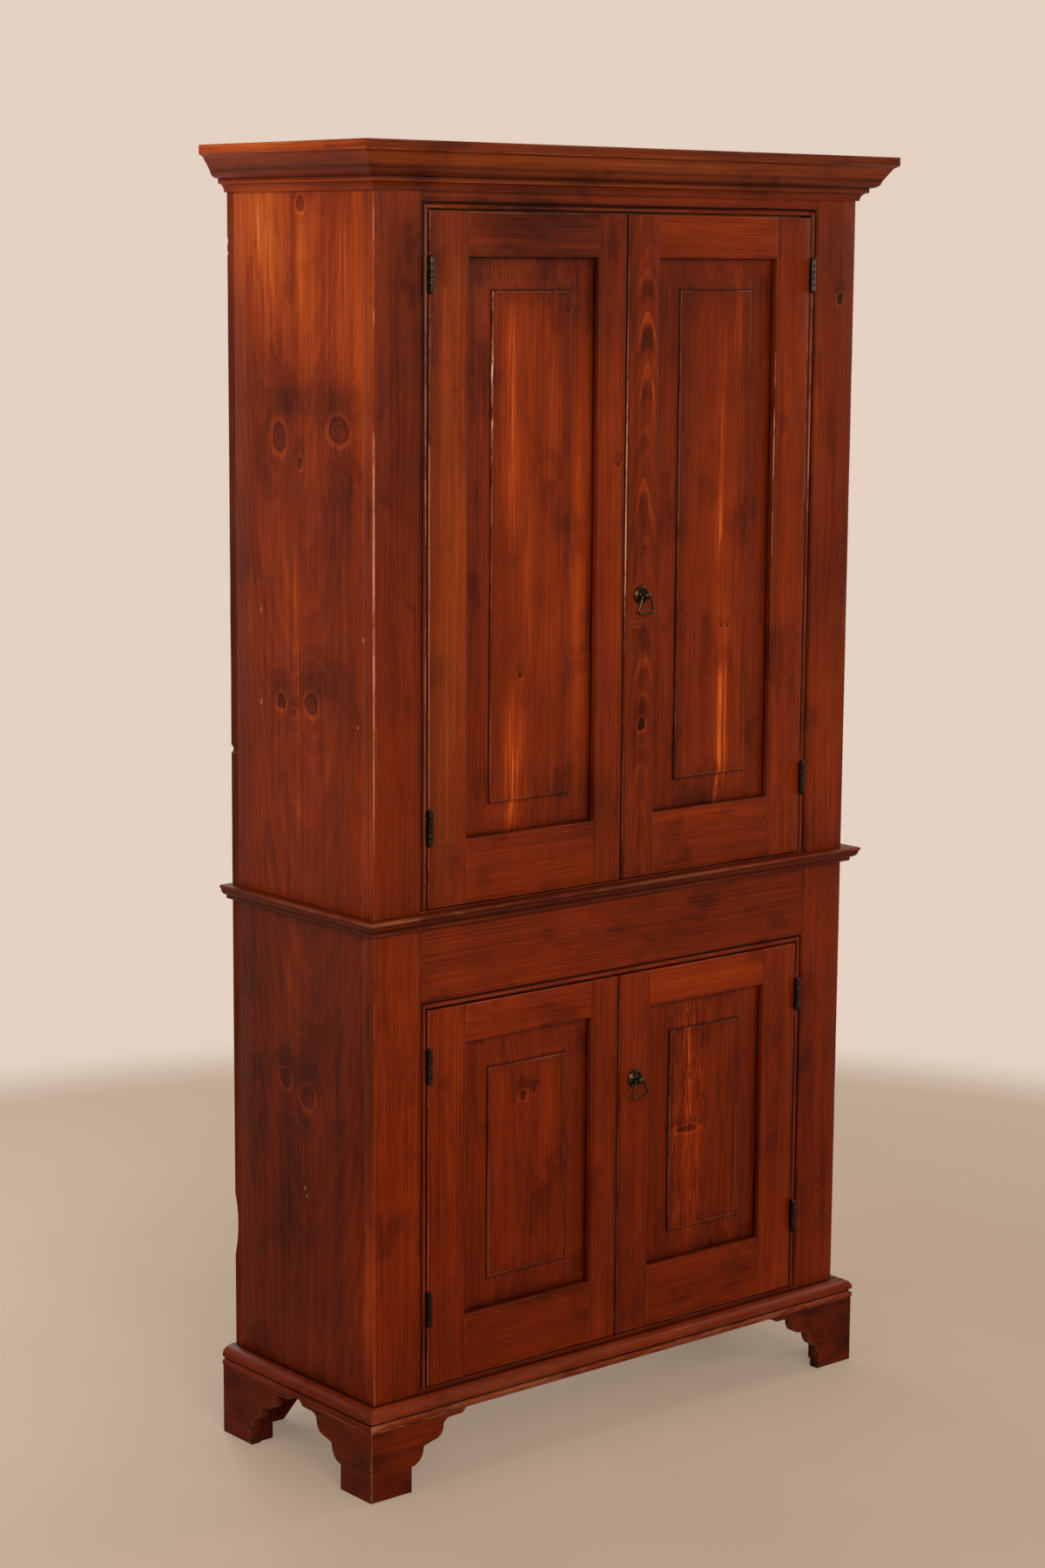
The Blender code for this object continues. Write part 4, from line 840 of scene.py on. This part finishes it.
def mitred(name, outline, tones=(0.0, 0.0, 0.0)):
    """A moulding in three lengths with hairline mitres; the outline holds (out, z, pale arris, darkening of
    dirt and painted shade).
    """
    back_y = y_at(CASE_DEPTH)

    def piece(where, start, step, place, axes, tone):
        shares = [start] + stations(start, 1.0, step) + [1.0]
        add_object(f"{name}_{where}", sweep(outline, shares, place), "case", moulding_pine, (name,), axes,
                   seed_for(0.05, outline[0][1], "straight"), tone)

    def beside(sign, share, out, z):
        y = back_y + (y_at(-out) + HAIRLINE - back_y) * share
        return Vector((sign * (HALF_W + out), y, z + uneven(y, z)))

    def before(share, out, z):
        x = share * (HALF_W + out - HAIRLINE)
        return Vector((x, y_at(-out), z + uneven(x, z)))

    for (side, sign), tone in zip(SIDES, (tones[0], tones[2])):
        piece(side, 0.0, 0.12, lambda *given: beside(sign, *given), RETURN, tone)
    piece("front", -1.0, 0.055, before, RAIL, tones[1])


def curve(start, end, centre, radii, steps, edge=0.0, dirt_and_shade=0.0):
    """Points along an elliptic arc between two angles in degrees."""
    angles = [math.radians(start + (end - start) * i / steps) for i in range(steps + 1)]
    return [(centre[0] + radii[0] * math.cos(a), centre[1] + radii[1] * math.sin(a), edge, dirt_and_shade)
            for a in angles]


def arris(out, z, before, after, edge=1.0, radius=0.0007):
    """Three points round a crisp corner with clean points beside it."""
    here = Vector((out, z))
    middle = (toward(here, before, radius) + toward(here, after, radius) + here * 2) / 4
    return [(*toward(here, before, radius * 3), 0.0, 0.0), (*toward(here, before, radius), edge, 0.0),
            (*middle, edge, 0.0), (*toward(here, after, radius), edge, 0.0),
            (*toward(here, after, radius * 3), 0.0, 0.0)]


def mouldings():
    """Cornice, waist moulding and base moulding, each from its lowest point at the case round to its top."""
    # In the outlines the third number pales an arris, by wear and painted highlight, and the fourth darkens a
    # hollow, by dirt and painted shade.
    top, wall = CORNICE_TOP, FIT / 2
    z0 = top - CORNICE_H
    cove_end, slope_end, brow = (0.0152, z0 + 0.0128), (0.0390, z0 + 0.0462), (0.0435, z0 + 0.0530)
    lip = (CORNICE_OUT, z0 + 0.0570)
    mitred("cornice", [
        (wall, z0, 0.0, 1.0), *curve(180, 90, (0.014, z0), (0.010, 0.0128), 8, 0.0, 0.35),
        *arris(*cove_end, (0.0140, z0 + 0.0128), (0.0152, z0 + 0.0203), 0.9, 0.0004),
        (0.0152, z0 + 0.0203, 0.0, 0.8),
        *curve(-88, 0, (0.014, z0 + 0.0310), (0.0155, 0.0107), 8, 0.0, 0.25),
        (0.0300, z0 + 0.0318, 0.0, 0.6), (0.0340, z0 + 0.0385, 0.0, 0.1), (*slope_end, 0.0, 0.0),
        *arris(*brow, slope_end, lip, 0.5), *arris(*lip, brow, (CORNICE_OUT, top)),
        *arris(CORNICE_OUT, top, lip, (wall, top), 1.0, 0.0012), (wall, top, 0.0, 0.0)], (0.14, 0.02, 0.0))

    top = WAIST_TOP
    low = top - WAIST_H
    mitred("waist_moulding", [
        (wall, low, 0.0, 1.0), (0.0098, low + 0.0012, 0.0, 0.6), (0.0110, low + 0.0024, 0.6, 0.2),
        (0.0110, low + 0.0066, 0.0, 0.4), (0.0110, low + 0.0078, 0.0, 1.0),
        *curve(-80, 0, (0.0110, top - 0.0072), (0.0102, 0.0100), 6, 0.0, 0.2), (0.0218, top - 0.0062, 0.0, 0.8),
        *curve(-45, 90, (0.0212, top - 0.0028), (0.0028, 0.0028), 8, 0.9),
        (0.0150, top, 0.1, 0.0), (0.0040, top, 0.0, 0.3), (wall, top, 0.0, 1.0)])

    low = FOOT_H + FIT
    bead_top = low + 0.0095
    ovolo_low = bead_top + 0.0080
    mitred("base_moulding", [
        (wall, low, 0.0, 0.5), (0.0257, low, 0.0, 0.0), (0.0265, low + 0.0008, 0.5, 0.3),
        *curve(0, 90, (0.0225, bead_top - 0.0040), (0.0040, 0.0040), 6, 0.6),
        (0.0225, bead_top + 0.0006, 0.0, 1.0), (0.0225, bead_top + 0.0045, 0.0, 1.0),
        *arris(0.0265, bead_top + 0.0045, (0.0225, bead_top + 0.0045), (0.0265, ovolo_low), 0.7, 0.0004),
        *curve(0, 84, (0.0080, ovolo_low), (0.0185, BASE_TOP - ovolo_low), 9, 0.15),
        (0.0080, BASE_TOP, 0.0, 0.5), (wall, BASE_TOP, 0.0, 1.0)], (0.0, 0.03, 0.0))


def bracket_curve(length):
    """The scalloped outline as (along, z), along measured from the outer corner."""
    foot_w = 0.080
    knee, step, shelf, neck, cusp = (FOOT_H * share for share in (0.36, 0.61, 0.655, 0.83, 0.925))
    span = length - foot_w
    a, b, c, d = (foot_w + span * share for share in (0.22, 0.41, 0.58, 0.72))
    top = FOOT_H - FIT
    points = [(0.0, 0.0), (foot_w, 0.0), *curve(-90, 0, (foot_w, step), (a - foot_w, step - knee), 9),
              (b, shelf), *curve(-80, 0, (b, neck), (c - b, neck - shelf), 8),
              *curve(165, 90, (d, neck), (d - c, cusp - neck), 6),
              (length - span * 0.08, cusp + FIT), (length, top), (0.0, top)]
    return [point[:2] for point in points]


def bracket(name, outer, inner, length, nodes, axes, start=0.0, mitre=False):
    """A bracket between two faces given as functions of (along, z), its lower edge eased."""
    bm = bmesh.new()
    edge, dirt_and_shade = surface_layers(bm)
    outline = bracket_curve(length)
    hidden = BRACKET_T if mitre else start
    front = [bm.verts.new(outer(max(s, start), z)) for s, z in outline]
    back = [bm.verts.new(inner(max(s, hidden), z)) for s, z in outline]
    count = len(outline)
    for i in range(count):
        j = (i + 1) % count
        bm.faces.new((front[i], front[j], back[j], back[i]))
    face = bm.faces.new(list(reversed(front)))
    bm.faces.new(back)
    bmesh.ops.recalc_face_normals(bm, faces=bm.faces)
    made = bmesh.ops.bevel(bm, geom=list(face.edges), offset=0.0011, segments=2, affect="EDGES", profile=0.6)
    for vert in made["verts"]:
        vert[edge] = 0.8
    big = max(bm.faces, key=lambda f: f.calc_area() if is_front(f, outer) else 0.0)
    bmesh.ops.inset_individual(bm, faces=[big], thickness=0.0013, use_even_offset=True)
    for vert in big.verts:
        vert[edge] = 0.0
    bmesh.ops.remove_doubles(bm, verts=bm.verts, dist=1e-6)
    # the lowest points are darkened along the floor
    for vert in bm.verts:
        if vert.co.z < 0.002:
            vert[dirt_and_shade] = 0.8
    add_object(name, bm, "case", foot_pine, nodes, axes, seed_for(0.1, 0.06, "cathedral"),
               dice.uniform(-0.02, 0.02))


def is_front(face, outer):
    """Whether a many-sided face lies in a bracket's outer plane."""
    plane = outer(0.05, 0.05)
    middle = face.calc_center_median()
    return min(abs(middle.x - plane.x), abs(middle.y - plane.y)) < 0.0002 and len(face.verts) > 10


def feet():
    """Two brackets and a block for each front foot; one bracket, a block and a brace for each rear foot."""
    side_length = (CASE_DEPTH + BRACKET_OUT - SIDE_BRACKET_GAP) / 2
    top = FOOT_H - FIT
    block_y, brace_y = y_at(BRACKET_T - BRACKET_OUT), y_at(CASE_DEPTH - BRACE_T)
    for side, sign in SIDES:
        outer_x, inner_x = sign * (HALF_W + BRACKET_OUT), sign * (HALF_W + BRACKET_OUT - BRACKET_T)

        def block(where, width, y0, y1):
            x0, x1 = sorted((inner_x, inner_x - sign * width))
            plank(f"{side}_{where}_block", "case", box_corners(x0, x1, y0, y1, 0.0015, 0.3, 0.3), 0.0, top,
                  STILE, foot_pine, (f"{side}_{where}_foot",), tone=-0.06)

        node = (f"{side}_front_foot",)
        bracket(f"{side}_front_bracket", lambda s, z: Vector((outer_x - sign * s, y_at(-BRACKET_OUT), z)),
                lambda s, z: Vector((outer_x - sign * s, block_y, z)), FRONT_BRACKET_L, node, RAIL, 0.0, True)
        bracket(f"{side}_side_bracket", lambda s, z: Vector((outer_x, y_at(s - BRACKET_OUT), z)),
                lambda s, z: Vector((inner_x, y_at(s - BRACKET_OUT), z)), side_length, node, RETURN, 0.00015,
                True)
        block("front", FRONT_BLOCK_W, block_y, block_y + FRONT_BLOCK_W)
        node = (f"{side}_rear_foot",)
        bracket(f"{side}_rear_bracket", lambda s, z: Vector((outer_x, y_at(CASE_DEPTH - s), z)),
                lambda s, z: Vector((inner_x, y_at(CASE_DEPTH - s), z)), side_length, node, RETURN)
        block("rear", REAR_BLOCK_W, brace_y - REAR_BLOCK_D, brace_y)
        toe = inner_x - sign * BRACE_TOE
        outline = [(inner_x, 0.0, 0.0, 0.0), (toe, 0.0, 0.0, 0.0), (toe - sign * top, top, 0.0, 0.0),
                   (inner_x, top, 0.0, 0.0)]
        bm = sweep(outline, (brace_y, y_at(CASE_DEPTH)), lambda y, x, z: Vector((x, y, z)))
        bmesh.ops.bevel(bm, geom=list(bm.edges), offset=0.0010, segments=2, affect="EDGES", profile=0.6)
        add_object(f"{side}_rear_brace", bm, "case", back_pine, node, RAIL, seed_for(0.1, 0.06, "cathedral"))


def panel(name, body, x, z, material, node, seed):
    """Raised and fielded panel in rings, with a pale arris round the field, partly wear and partly painted
    highlight, and darkening in the recess, partly glaze and partly painted shade.
    """
    def slope(margin):
        return SHOULDER_DEPTH + BEVEL_DROP * (BEVEL_W - margin) / (BEVEL_W + TONGUE)

    # each row is a margin from the panel's edge, a depth, a pale arris (wear and painted highlight) and
    # darkening (glaze and painted shade)
    rows = [(-TONGUE, GROOVE_BACK - FIT, 0.0, 0.0)]
    rows += [(m, slope(m), 0.0, g) for m, g in ((-TONGUE, 0.0), (-0.001, 0.8), (0.002, 0.60), (0.006, 0.34),
                                               (0.015, 0.20), (0.030, 0.12), (0.044, 0.10), (0.0488, 0.40))]
    rows += [(BEVEL_W + further, depth, e, g) for further, depth, e, g in (
        (-0.0002, SHOULDER_DEPTH, 0.0, 1.0), (0.0002, SHOULDER_DEPTH - 0.0006, 0.0, 1.0),
        (0.0004, FIELD_DEPTH + 0.0010, 0.8, 0.9), (0.0008, FIELD_DEPTH + 0.0003, 1.0, 0.6),
        (0.0014, FIELD_DEPTH, 1.0, 0.35), (0.0028, FIELD_DEPTH, 0.8, 0.25), (0.0040, FIELD_DEPTH, 0.0, 0.26),
        (0.0110, FIELD_DEPTH, 0.0, 0.14), (0.0260, FIELD_DEPTH, 0.0, 0.04))]
    half_w = (x[1] - x[0]) / 2
    inner = BEVEL_W + 0.0260
    while inner + 0.022 < half_w:
        inner += 0.020
        rows.append((inner, FIELD_DEPTH, 0.0, 0.0))
    across, up = 6, max(10, round((z[1] - z[0]) / 0.035))
    rings = []
    for margin, depth, e, g in rows:
        x0, x1, z0, z1 = x[0] + margin, x[1] - margin, z[0] + margin, z[1] - margin
        ring = [(x0 + (x1 - x0) * i / across, z0) for i in range(across)]
        ring += [(x1, z0 + (z1 - z0) * i / up) for i in range(up)]
        ring += [(x1 - (x1 - x0) * i / across, z1) for i in range(across)]
        ring += [(x0, z1 - (z1 - z0) * i / up) for i in range(up)]
        # less darkening along the top rim, where light reaches in under the top rail: painted shade
        top_g = g * (0.4 if margin < 0.020 else 1.0)
        rings.append([(Vector((px, y_at(depth + belly(px, pz, depth)), pz)), e, top_g if pz == z1 else g)
                      for px, pz in ring])
    bm = bmesh.new()
    loft(bm, rings)
    add_object(name, bm, body, material, (node,), STILE, seed)


def belly(x, z, depth):
    """Slight hand-planed unevenness of a panel's face."""
    return 0.0 if depth > GROOVE_FRONT + 0.002 else 0.00022 * noise.noise(Vector((x * 14.0, 0.4, z * 5.0)))


def grooved(outer, inner, outer_edge, shade_and_dirt=0.0, groove_shade_and_dirt=0.9):
    """The section of a door's stile or rail, with the panel's groove in its inner edge; its outer face is
    darkened as painted shade in the gap beside it, and its inner front corner as dirt and painted shade.
    """
    into = inner + math.copysign(GROOVE_IN, outer - inner)
    near, front, behind, back = (y_at(depth) for depth in (0, GROOVE_FRONT, GROOVE_BACK, FRAME_T))
    return [(outer, y_at(EDGE_SHADOW), 0.0, 0.0, 1.0), (outer, near, 0.0012, outer_edge, shade_and_dirt),
            (inner, near, 0.0009, 0.55, 0.25), (inner, front, 0.0, 0.0, groove_shade_and_dirt),
            (into, front, 0.0, 0.0, 0.0), (into, behind, 0.0, 0.0, 0.0), (inner, behind, 0.0, 0.0, 0.0),
            (inner, back, 0.0009, 0.3, 0.0), (outer, back, 0.0, 0.0, 1.0)]


def door(storey, side, sign):
    """Stiles, rails, panel and hinges of one door; the right one is bored for its turn."""
    body = f"{storey}_{side}_door"
    z0, z1 = OPENING[storey][0] + DOOR_GAP_Z, OPENING[storey][1] - DOOR_GAP_Z
    top_z, bottom_z = z1 - TOP_RAIL_H[storey], z0 + BOTTOM_RAIL_H
    hinge_in = sign * (EDGE - HINGE_STILE_W)
    meet_in = MEET[side] + sign * MEETING_W[side]
    frame_node = (f"{body}_frame",)

    hinge_stile = plank(f"{body}_hinge_stile", body, grooved(sign * EDGE, hinge_in, 1.0), z0, z1, STILE,
                        stile_pine, frame_node)
    cut_pockets(hinge_stile, sign * EDGE, HINGE_Z[storey])
    seeds = {"upper": (0.041, -0.114, 0.075), "lower": (0.30, 0.0, 0.004)}
    material, seed = (flame_pine, seeds[storey]) if side == "right" else (left_meeting_pine, None)
    meeting = plank(f"{body}_meeting_stile", body, grooved(MEET[side], meet_in, 0.8, 0.4), z0, z1, STILE,
                    material, frame_node, seed=seed)
    if side == "right":
        bore = [(0, -0.01), (BORE_R, -0.01), (BORE_R, 0.04), (0, 0.04)]
        combine(meeting, turned(bore, (TURN_X, y_at(0), TURN_Z[storey]), (0, 1, 0), 24), "DIFFERENCE")

    left, right = sorted((hinge_in, meet_in))
    for where, outer, inner, groove_shade_and_dirt in (("top", z1, top_z, 0.4), ("bottom", z0, bottom_z, 0.9)):
        plank(f"{body}_{where}_rail", body, grooved(outer, inner, 0.9, 0.0, groove_shade_and_dirt), left + HAIRLINE,
              right - HAIRLINE, RAIL, rail_pine, frame_node)

    panel_looks = {"left": (left_panel_pine, 0.045, 0.032), "right": (right_panel_pine, -0.05, -0.028)}
    material, heart_depth, lean = panel_looks[side]
    panel(f"{body}_fielded_panel", body, (left, right), (bottom_z, top_z), material, f"{body}_panel",
          ((left + right) / 2 + 0.01 * sign, y_at(0) + heart_depth, lean))
    for where, level in zip(("bottom", "top"), HINGE_Z[storey]):
        hinge(f"{storey}_{side}_{where}_hinge", sign, level, body)


def turned(profile, origin, axis, steps):
    """Spin a profile of (radius, along) points whose ends lie on the axis."""
    bm = bmesh.new()
    axis = Vector(axis)
    side = axis.orthogonal().normalized()
    verts = [bm.verts.new(Vector(origin) + side * r + axis * a) for r, a in profile]
    edges = [bm.edges.new(pair) for pair in zip(verts, verts[1:])]
    bmesh.ops.spin(bm, geom=verts + edges, cent=origin, axis=axis, angle=math.tau, steps=steps, use_merge=True)
    bmesh.ops.remove_doubles(bm, verts=bm.verts, dist=1e-6)
    return bm


def hinge(stem, sign, level, door_body):
    """A cast butt hinge: two leaves let into the edges, five knuckles and a pin with button ends."""
    pitch = HINGE_L / 5
    half = HINGE_L / 2
    bottom = level - half
    centre = Vector((sign * HINGE_X, y_at(-AXIS_PROUD), level))
    r, c = KNUCKLE_R, 0.0007
    half_gap, tab_air, knuckle_air = 0.0009, 0.0002, 0.0003
    leaves = (("frame_leaf", sign, (0, 2, 4), "case"), ("door_leaf", -sign, (1, 3), door_body))
    for leaf, away, own, body in leaves:
        near = sign * HINGE_X + away * half_gap
        far = near + away * LEAF_T
        plate = box_mesh((near, far), (y_at(FIT), y_at(LEAF_DEPTH)), (bottom, bottom + HINGE_L))
        bmesh.ops.bevel(plate, geom=list(plate.edges), offset=0.0003, segments=1, affect="EDGES")
        piece = add_object(f"{stem}_{leaf}_plate", plate, body, dark_iron, (f"{stem}_{leaf}",))
        for i in own:
            low, high = bottom + i * pitch + tab_air, bottom + (i + 1) * pitch - tab_air
            combine(piece, box_mesh((near, far), (centre.y, y_at(0.003)), (low, high)), "UNION")
        for i in own:
            low = bottom + i * pitch + knuckle_air - level
            high = bottom + (i + 1) * pitch - knuckle_air - level
            bore = PIN_R + FIT if leaf == "door_leaf" else 0.0
            profile = [(bore, low), (r - c, low), (r, low + c), (r, high - c), (r - c, high), (bore, high)]
            if bore:
                profile.append((bore, low))
            combine(piece, turned(profile, centre, (0, 0, 1), 28), "UNION")
        if leaf == "frame_leaf":
            tip = half + FIT
            button = [(0, 0.0028), (0.0018, 0.0024), (0.0032, 0.0010), (0.0034, 0), (PIN_R, -0.0001)]
            profile = [(radius, -tip - past) for radius, past in button]
            profile += [(radius, tip + past) for radius, past in reversed(button)]
            combine(piece, turned(profile, centre, (0, 0, 1), 24), "UNION")
        crease(piece.data, IRON_CREASE)
        screw_depth, stagger, screw_pitch = 0.0125, 0.003, 0.0175
        for k in (-1, 0, 1):
            spot = Vector((far - away * LEAF_T, y_at(screw_depth - stagger * (k % 2)), level + k * screw_pitch))
            screw(f"{stem}_{leaf}_screw_{k + 2}", spot, -away, body)


def screw(name, spot, facing, body):
    """A countersunk slotted screw head, flush with its leaf."""
    profile = [(0, -0.0011), (0.0012, -0.0011), (0.0029, -0.0001), (0.0031, 0.0002), (0.0020, 0.00035),
               (0, 0.0004)]
    piece = add_object(name, turned(profile, spot, (facing, 0, 0), 20), body, dark_iron)
    turn = Matrix.Rotation(dice.uniform(0, math.pi), 4, "X")
    turn = Matrix.Translation(spot) @ turn @ Matrix.Translation(-spot)
    half_length, half_width = 0.004, 0.0003
    cut = box_mesh((spot.x + facing * 0.00005, spot.x + facing * 0.001),
                   (spot.y - half_length, spot.y + half_length), (spot.z - half_width, spot.z + half_width))
    bmesh.ops.transform(cut, matrix=turn, verts=cut.verts)
    combine(piece, cut, "DIFFERENCE")


def rosette(storey, face):
    """A round plate with three raised rings and a collar, lofted from rings of (radius, along)."""
    rings = [(BORE_R, -0.0003), (0.0148, -0.0003), (0.0150, -0.0010), (0.0149, -0.0019)]
    for low, high, height in ((0.0140, 0.0122, 0.0036), (0.0112, 0.0094, 0.0034), (0.0084, 0.0070, 0.0040)):
        rings += [(low + 0.0006, -0.0017), (low, -height + 0.0006), ((low + high) / 2, -height),
                  (high, -height + 0.0006), (high - 0.0005, -0.0019)]
    rings += [(0.0056, -0.0040), (0.0050, -0.0042), (BORE_R, -0.0042)]
    circles = []
    for radius, along in rings:
        polish = min(1.0, max(0.0, (-along - 0.0024) / 0.0010)) * 0.7
        circles.append([(face + Vector((radius * math.cos(a), along, radius * math.sin(a))), polish, 0.0)
                        for a in [math.tau * i / 48 for i in range(48)]])
    bm = bmesh.new()
    loft(bm, circles, closed=True)
    add_object(f"{storey}_rosette", bm, f"{storey}_right_door", brown_metal, (f"{storey}_turn_rosette",))


def cupboard_turn(storey):
    """Ringed rosette on the door, spindle with boss and finger, and the swinging drop handle."""
    level = TURN_Z[storey]
    face = Vector((TURN_X, y_at(0), level))
    rosette(storey, face)

    reach = math.sqrt(BOSS_R ** 2 - NECK_R ** 2)
    profile = [(0, 0.0295), (NECK_R, 0.0295), (0.0040, 0.0290), (0.0040, -0.0045), (0.0058, -0.0046),
               (0.0062, -0.0052), (0.0061, -0.0060), (0.0052, -0.0066), (0.0037, -0.0072),
               (NECK_R, -BOSS_PROUD + reach)]
    start = math.atan2(-reach, NECK_R)
    for i in range(1, 13):
        a = start + (math.pi / 2 - start) * i / 12
        profile.append((max(BOSS_R * math.cos(a), 0.0), -BOSS_PROUD - BOSS_R * math.sin(a)))
    piece = add_object(f"{storey}_spindle", turned(profile, face, (0, 1, 0), 32), f"{storey}_turn", brown_metal,
                  (f"{storey}_turn_spindle",))

    root_r, tip_r, length = 0.0070, 0.0045, 0.050
    outline = [(root_r * math.cos(a), root_r * math.sin(a), 0.0, 0.0)
               for a in [math.pi + math.pi * i / 12 for i in range(13)]]
    outline += [(tip_r * math.cos(a), length - tip_r + tip_r * math.sin(a), 0.0, 0.0)
                for a in [math.pi * i / 10 for i in range(11)]]
    finger = sweep(outline, (0.0255, 0.0285), lambda depth, x, z: Vector((TURN_X + x, y_at(depth), level + z)))
    rims = [e for e in finger.edges if e.calc_length() > 0.0001
            and abs(e.verts[0].co.y - e.verts[1].co.y) < SAME_POINT]
    bmesh.ops.bevel(finger, geom=rims, offset=0.0004, segments=1, affect="EDGES")
    combine(piece, finger, "UNION")
    centre = face + Vector((0, -BOSS_PROUD, 0))
    cross = [(0, -0.015), (CROSS_R, -0.015), (CROSS_R, 0.015), (0, 0.015)]
    combine(piece, turned(cross, centre, (1, 0, 0), 20), "DIFFERENCE")
    crease(piece.data, IRON_CREASE)
    bail(storey, centre)


def bail(storey, centre):
    """Drop handle bent from round wire that thickens a little at the bottom."""
    top, bottom, drop, wire = 0.0088, 0.0158, 0.0285, 0.0019
    shoulder, corner = 0.0024, 0.0050
    lean = math.atan2(bottom - top, drop)
    half = [(0.0016, 0.0), (0.0040, 0.0), (top - shoulder, 0.0)]
    for i in range(1, 7):
        a = math.pi / 2 + (lean - math.pi / 2) * i / 6
        half.append((top - shoulder + shoulder * math.cos(a), -shoulder + shoulder * math.sin(a)))
    for i in range(9):
        a = lean + (-math.pi / 2 - lean) * i / 8
        half.append((bottom - corner + corner * math.cos(a), corner - drop + corner * math.sin(a)))
    path = half + [(0.0, -drop - 0.0003)] + [(-x, z) for x, z in reversed(half)]
    points = [centre + Vector((x, 0.0, z)) for x, z in path]
    out = Vector((0, 1, 0))
    rings = []
    for i, point in enumerate(points):
        ahead = points[min(i + 1, len(points) - 1)] - points[max(i - 1, 0)]
        side = ahead.normalized().cross(out).normalized()
        low = max(0.0, min(1.0, (centre.z - point.z) / drop))
        aside = (abs(point.x - centre.x) - bottom + 0.002) / 0.0035
        swollen = math.exp(-(aside ** 2 + ((low - 0.86) / 0.14) ** 2))
        radius = wire * (0.88 + 0.10 * low + 0.22 * swollen)
        angles = [math.tau * k / 14 for k in range(14)]
        rings.append([(point + (side * math.cos(a) + out * math.sin(a)) * radius, 0.05 + 0.30 * low, 0.0)
                      for a in angles])
    bm = bmesh.new()
    loft(bm, rings)
    add_object(f"{storey}_drop_handle", bm, f"{storey}_bail", brown_metal, (f"{storey}_turn_bail",))


cases()
face_frames()
beads()
mouldings()
feet()
for storey_name in STOREYS:
    for side_name, side_sign in SIDES:
        door(storey_name, side_name, side_sign)
    cupboard_turn(storey_name)


def seen_directly(t):
    """1 for what the camera sees, straight or in a reflection or through glass."""
    camera, glossy, through = (t.node("LightPath", output=ray)
                               for ray in ("Is Camera Ray", "Is Glossy Ray", "Is Transmission Ray"))
    return camera.math("MAXIMUM", glossy).math("MAXIMUM", through)


def stage():
    """Pale floor that runs out softly into a pale backdrop; the backdrop lights nothing."""
    t = Tree(bpy.data.materials.new("pale_floor"))
    spot = t.node("TexCoord", output="Object")
    cloud = spot.stretch((0.9, 0.9, 0.9)).noise(5.0, 0.6)
    t.surface("Base Color", cloud.ramp([(0.3, (0.40, 0.287, 0.203)), (0.7, (0.47, 0.345, 0.248))]))
    t.surface("Roughness", 0.60)
    x, y, _ = spot.split()
    away = (x * x + y * y).math("SQRT")
    far = away.fade(FLOOR_END - 0.45, FLOOR_END)
    glow = t.node("Emission", (t.mix(far, (0.52, 0.40, 0.30, 1.0), BACKDROP),))
    share = seen_directly(t) * away.fade(0.9, FLOOR_END, 0.40, 1.0)
    lit = Value(t, t.shader.outputs[0])
    t.feed(t.nodes["Material Output"].inputs["Surface"], t.node("MixShader", (share, lit, glow)))
    bpy.ops.mesh.primitive_circle_add(vertices=128, radius=6.0, fill_type="NGON", location=(0, 0, 0))
    floor = bpy.context.object
    floor.name = "floor"
    floor.data.materials.append(t.owner)

    world = bpy.data.worlds.new("studio")
    bpy.context.scene.world = world
    t = Tree(world)
    t.nodes.clear()
    light = t.node("Background", ((1.0, 0.93, 0.86, 1.0), 0.27))
    backdrop = t.node("Background", (BACKDROP, 1.0))
    seen = t.node("MixShader", (seen_directly(t), light, backdrop))
    t.feed(t.nodes.new("ShaderNodeOutputWorld").inputs[0], seen)


def softbox(name, place, target, size, power, colour):
    data = bpy.data.lights.new(name, "AREA")
    data.shape = "RECTANGLE"
    data.size, data.size_y = size
    data.energy = power
    data.color = colour
    lamp = bpy.data.objects.new(name, data)
    bpy.context.collection.objects.link(lamp)
    lamp.location = place
    lamp.rotation_euler = (Vector(target) - Vector(place)).to_track_quat("-Z", "Y").to_euler()


stage()
softbox("key", (-2.1, -3.9, 2.7), (0.0, 0.0, 1.3), (2.2, 2.2), 154.0, (1.0, 0.96, 0.91))
softbox("side", (-3.8, 0.2, 3.0), (-0.4, 0.0, 1.5), (1.8, 2.2), 56.0, (1.0, 0.95, 0.89))
softbox("fill", (0.9, -4.4, 2.4), (0.2, 0.0, 0.9), (2.0, 2.0), 46.0, (1.0, 0.97, 0.94))
softbox("right", (3.7, -0.4, 2.8), (0.4, 0.0, 1.2), (1.8, 2.2), 52.0, (1.0, 0.96, 0.92))
softbox("back", (0.4, 4.2, 1.6), (0.0, 0.2, 1.1), (2.4, 2.0), 105.0, (1.0, 0.96, 0.92))


def place_camera():
    """The photograph's camera, from its place, its angles in degrees and its lens."""
    yaw, pitch, roll = (math.radians(a) for a in (39.889, -9.4334, 0.3938))
    forward = Vector((math.sin(yaw) * math.cos(pitch), math.cos(yaw) * math.cos(pitch), math.sin(pitch)))
    level_right = Vector((math.cos(yaw), -math.sin(yaw), 0.0))
    level_up = level_right.cross(forward)
    right = math.cos(roll) * level_right + math.sin(roll) * level_up
    up = -math.sin(roll) * level_right + math.cos(roll) * level_up
    matrix = Matrix((right, up, -forward)).transposed().to_4x4()
    matrix.translation = Vector((-3.3443, -3.9121, 1.9109))
    data = bpy.data.cameras.new("photo_camera")
    data.sensor_fit = "VERTICAL"
    data.sensor_height = 24.0
    data.lens = 48.422
    camera = bpy.data.objects.new("photo_camera", data)
    bpy.context.collection.objects.link(camera)
    camera.matrix_world = matrix
    bpy.context.scene.camera = camera


place_camera()
bpy.context.scene.view_settings.view_transform = "Standard"
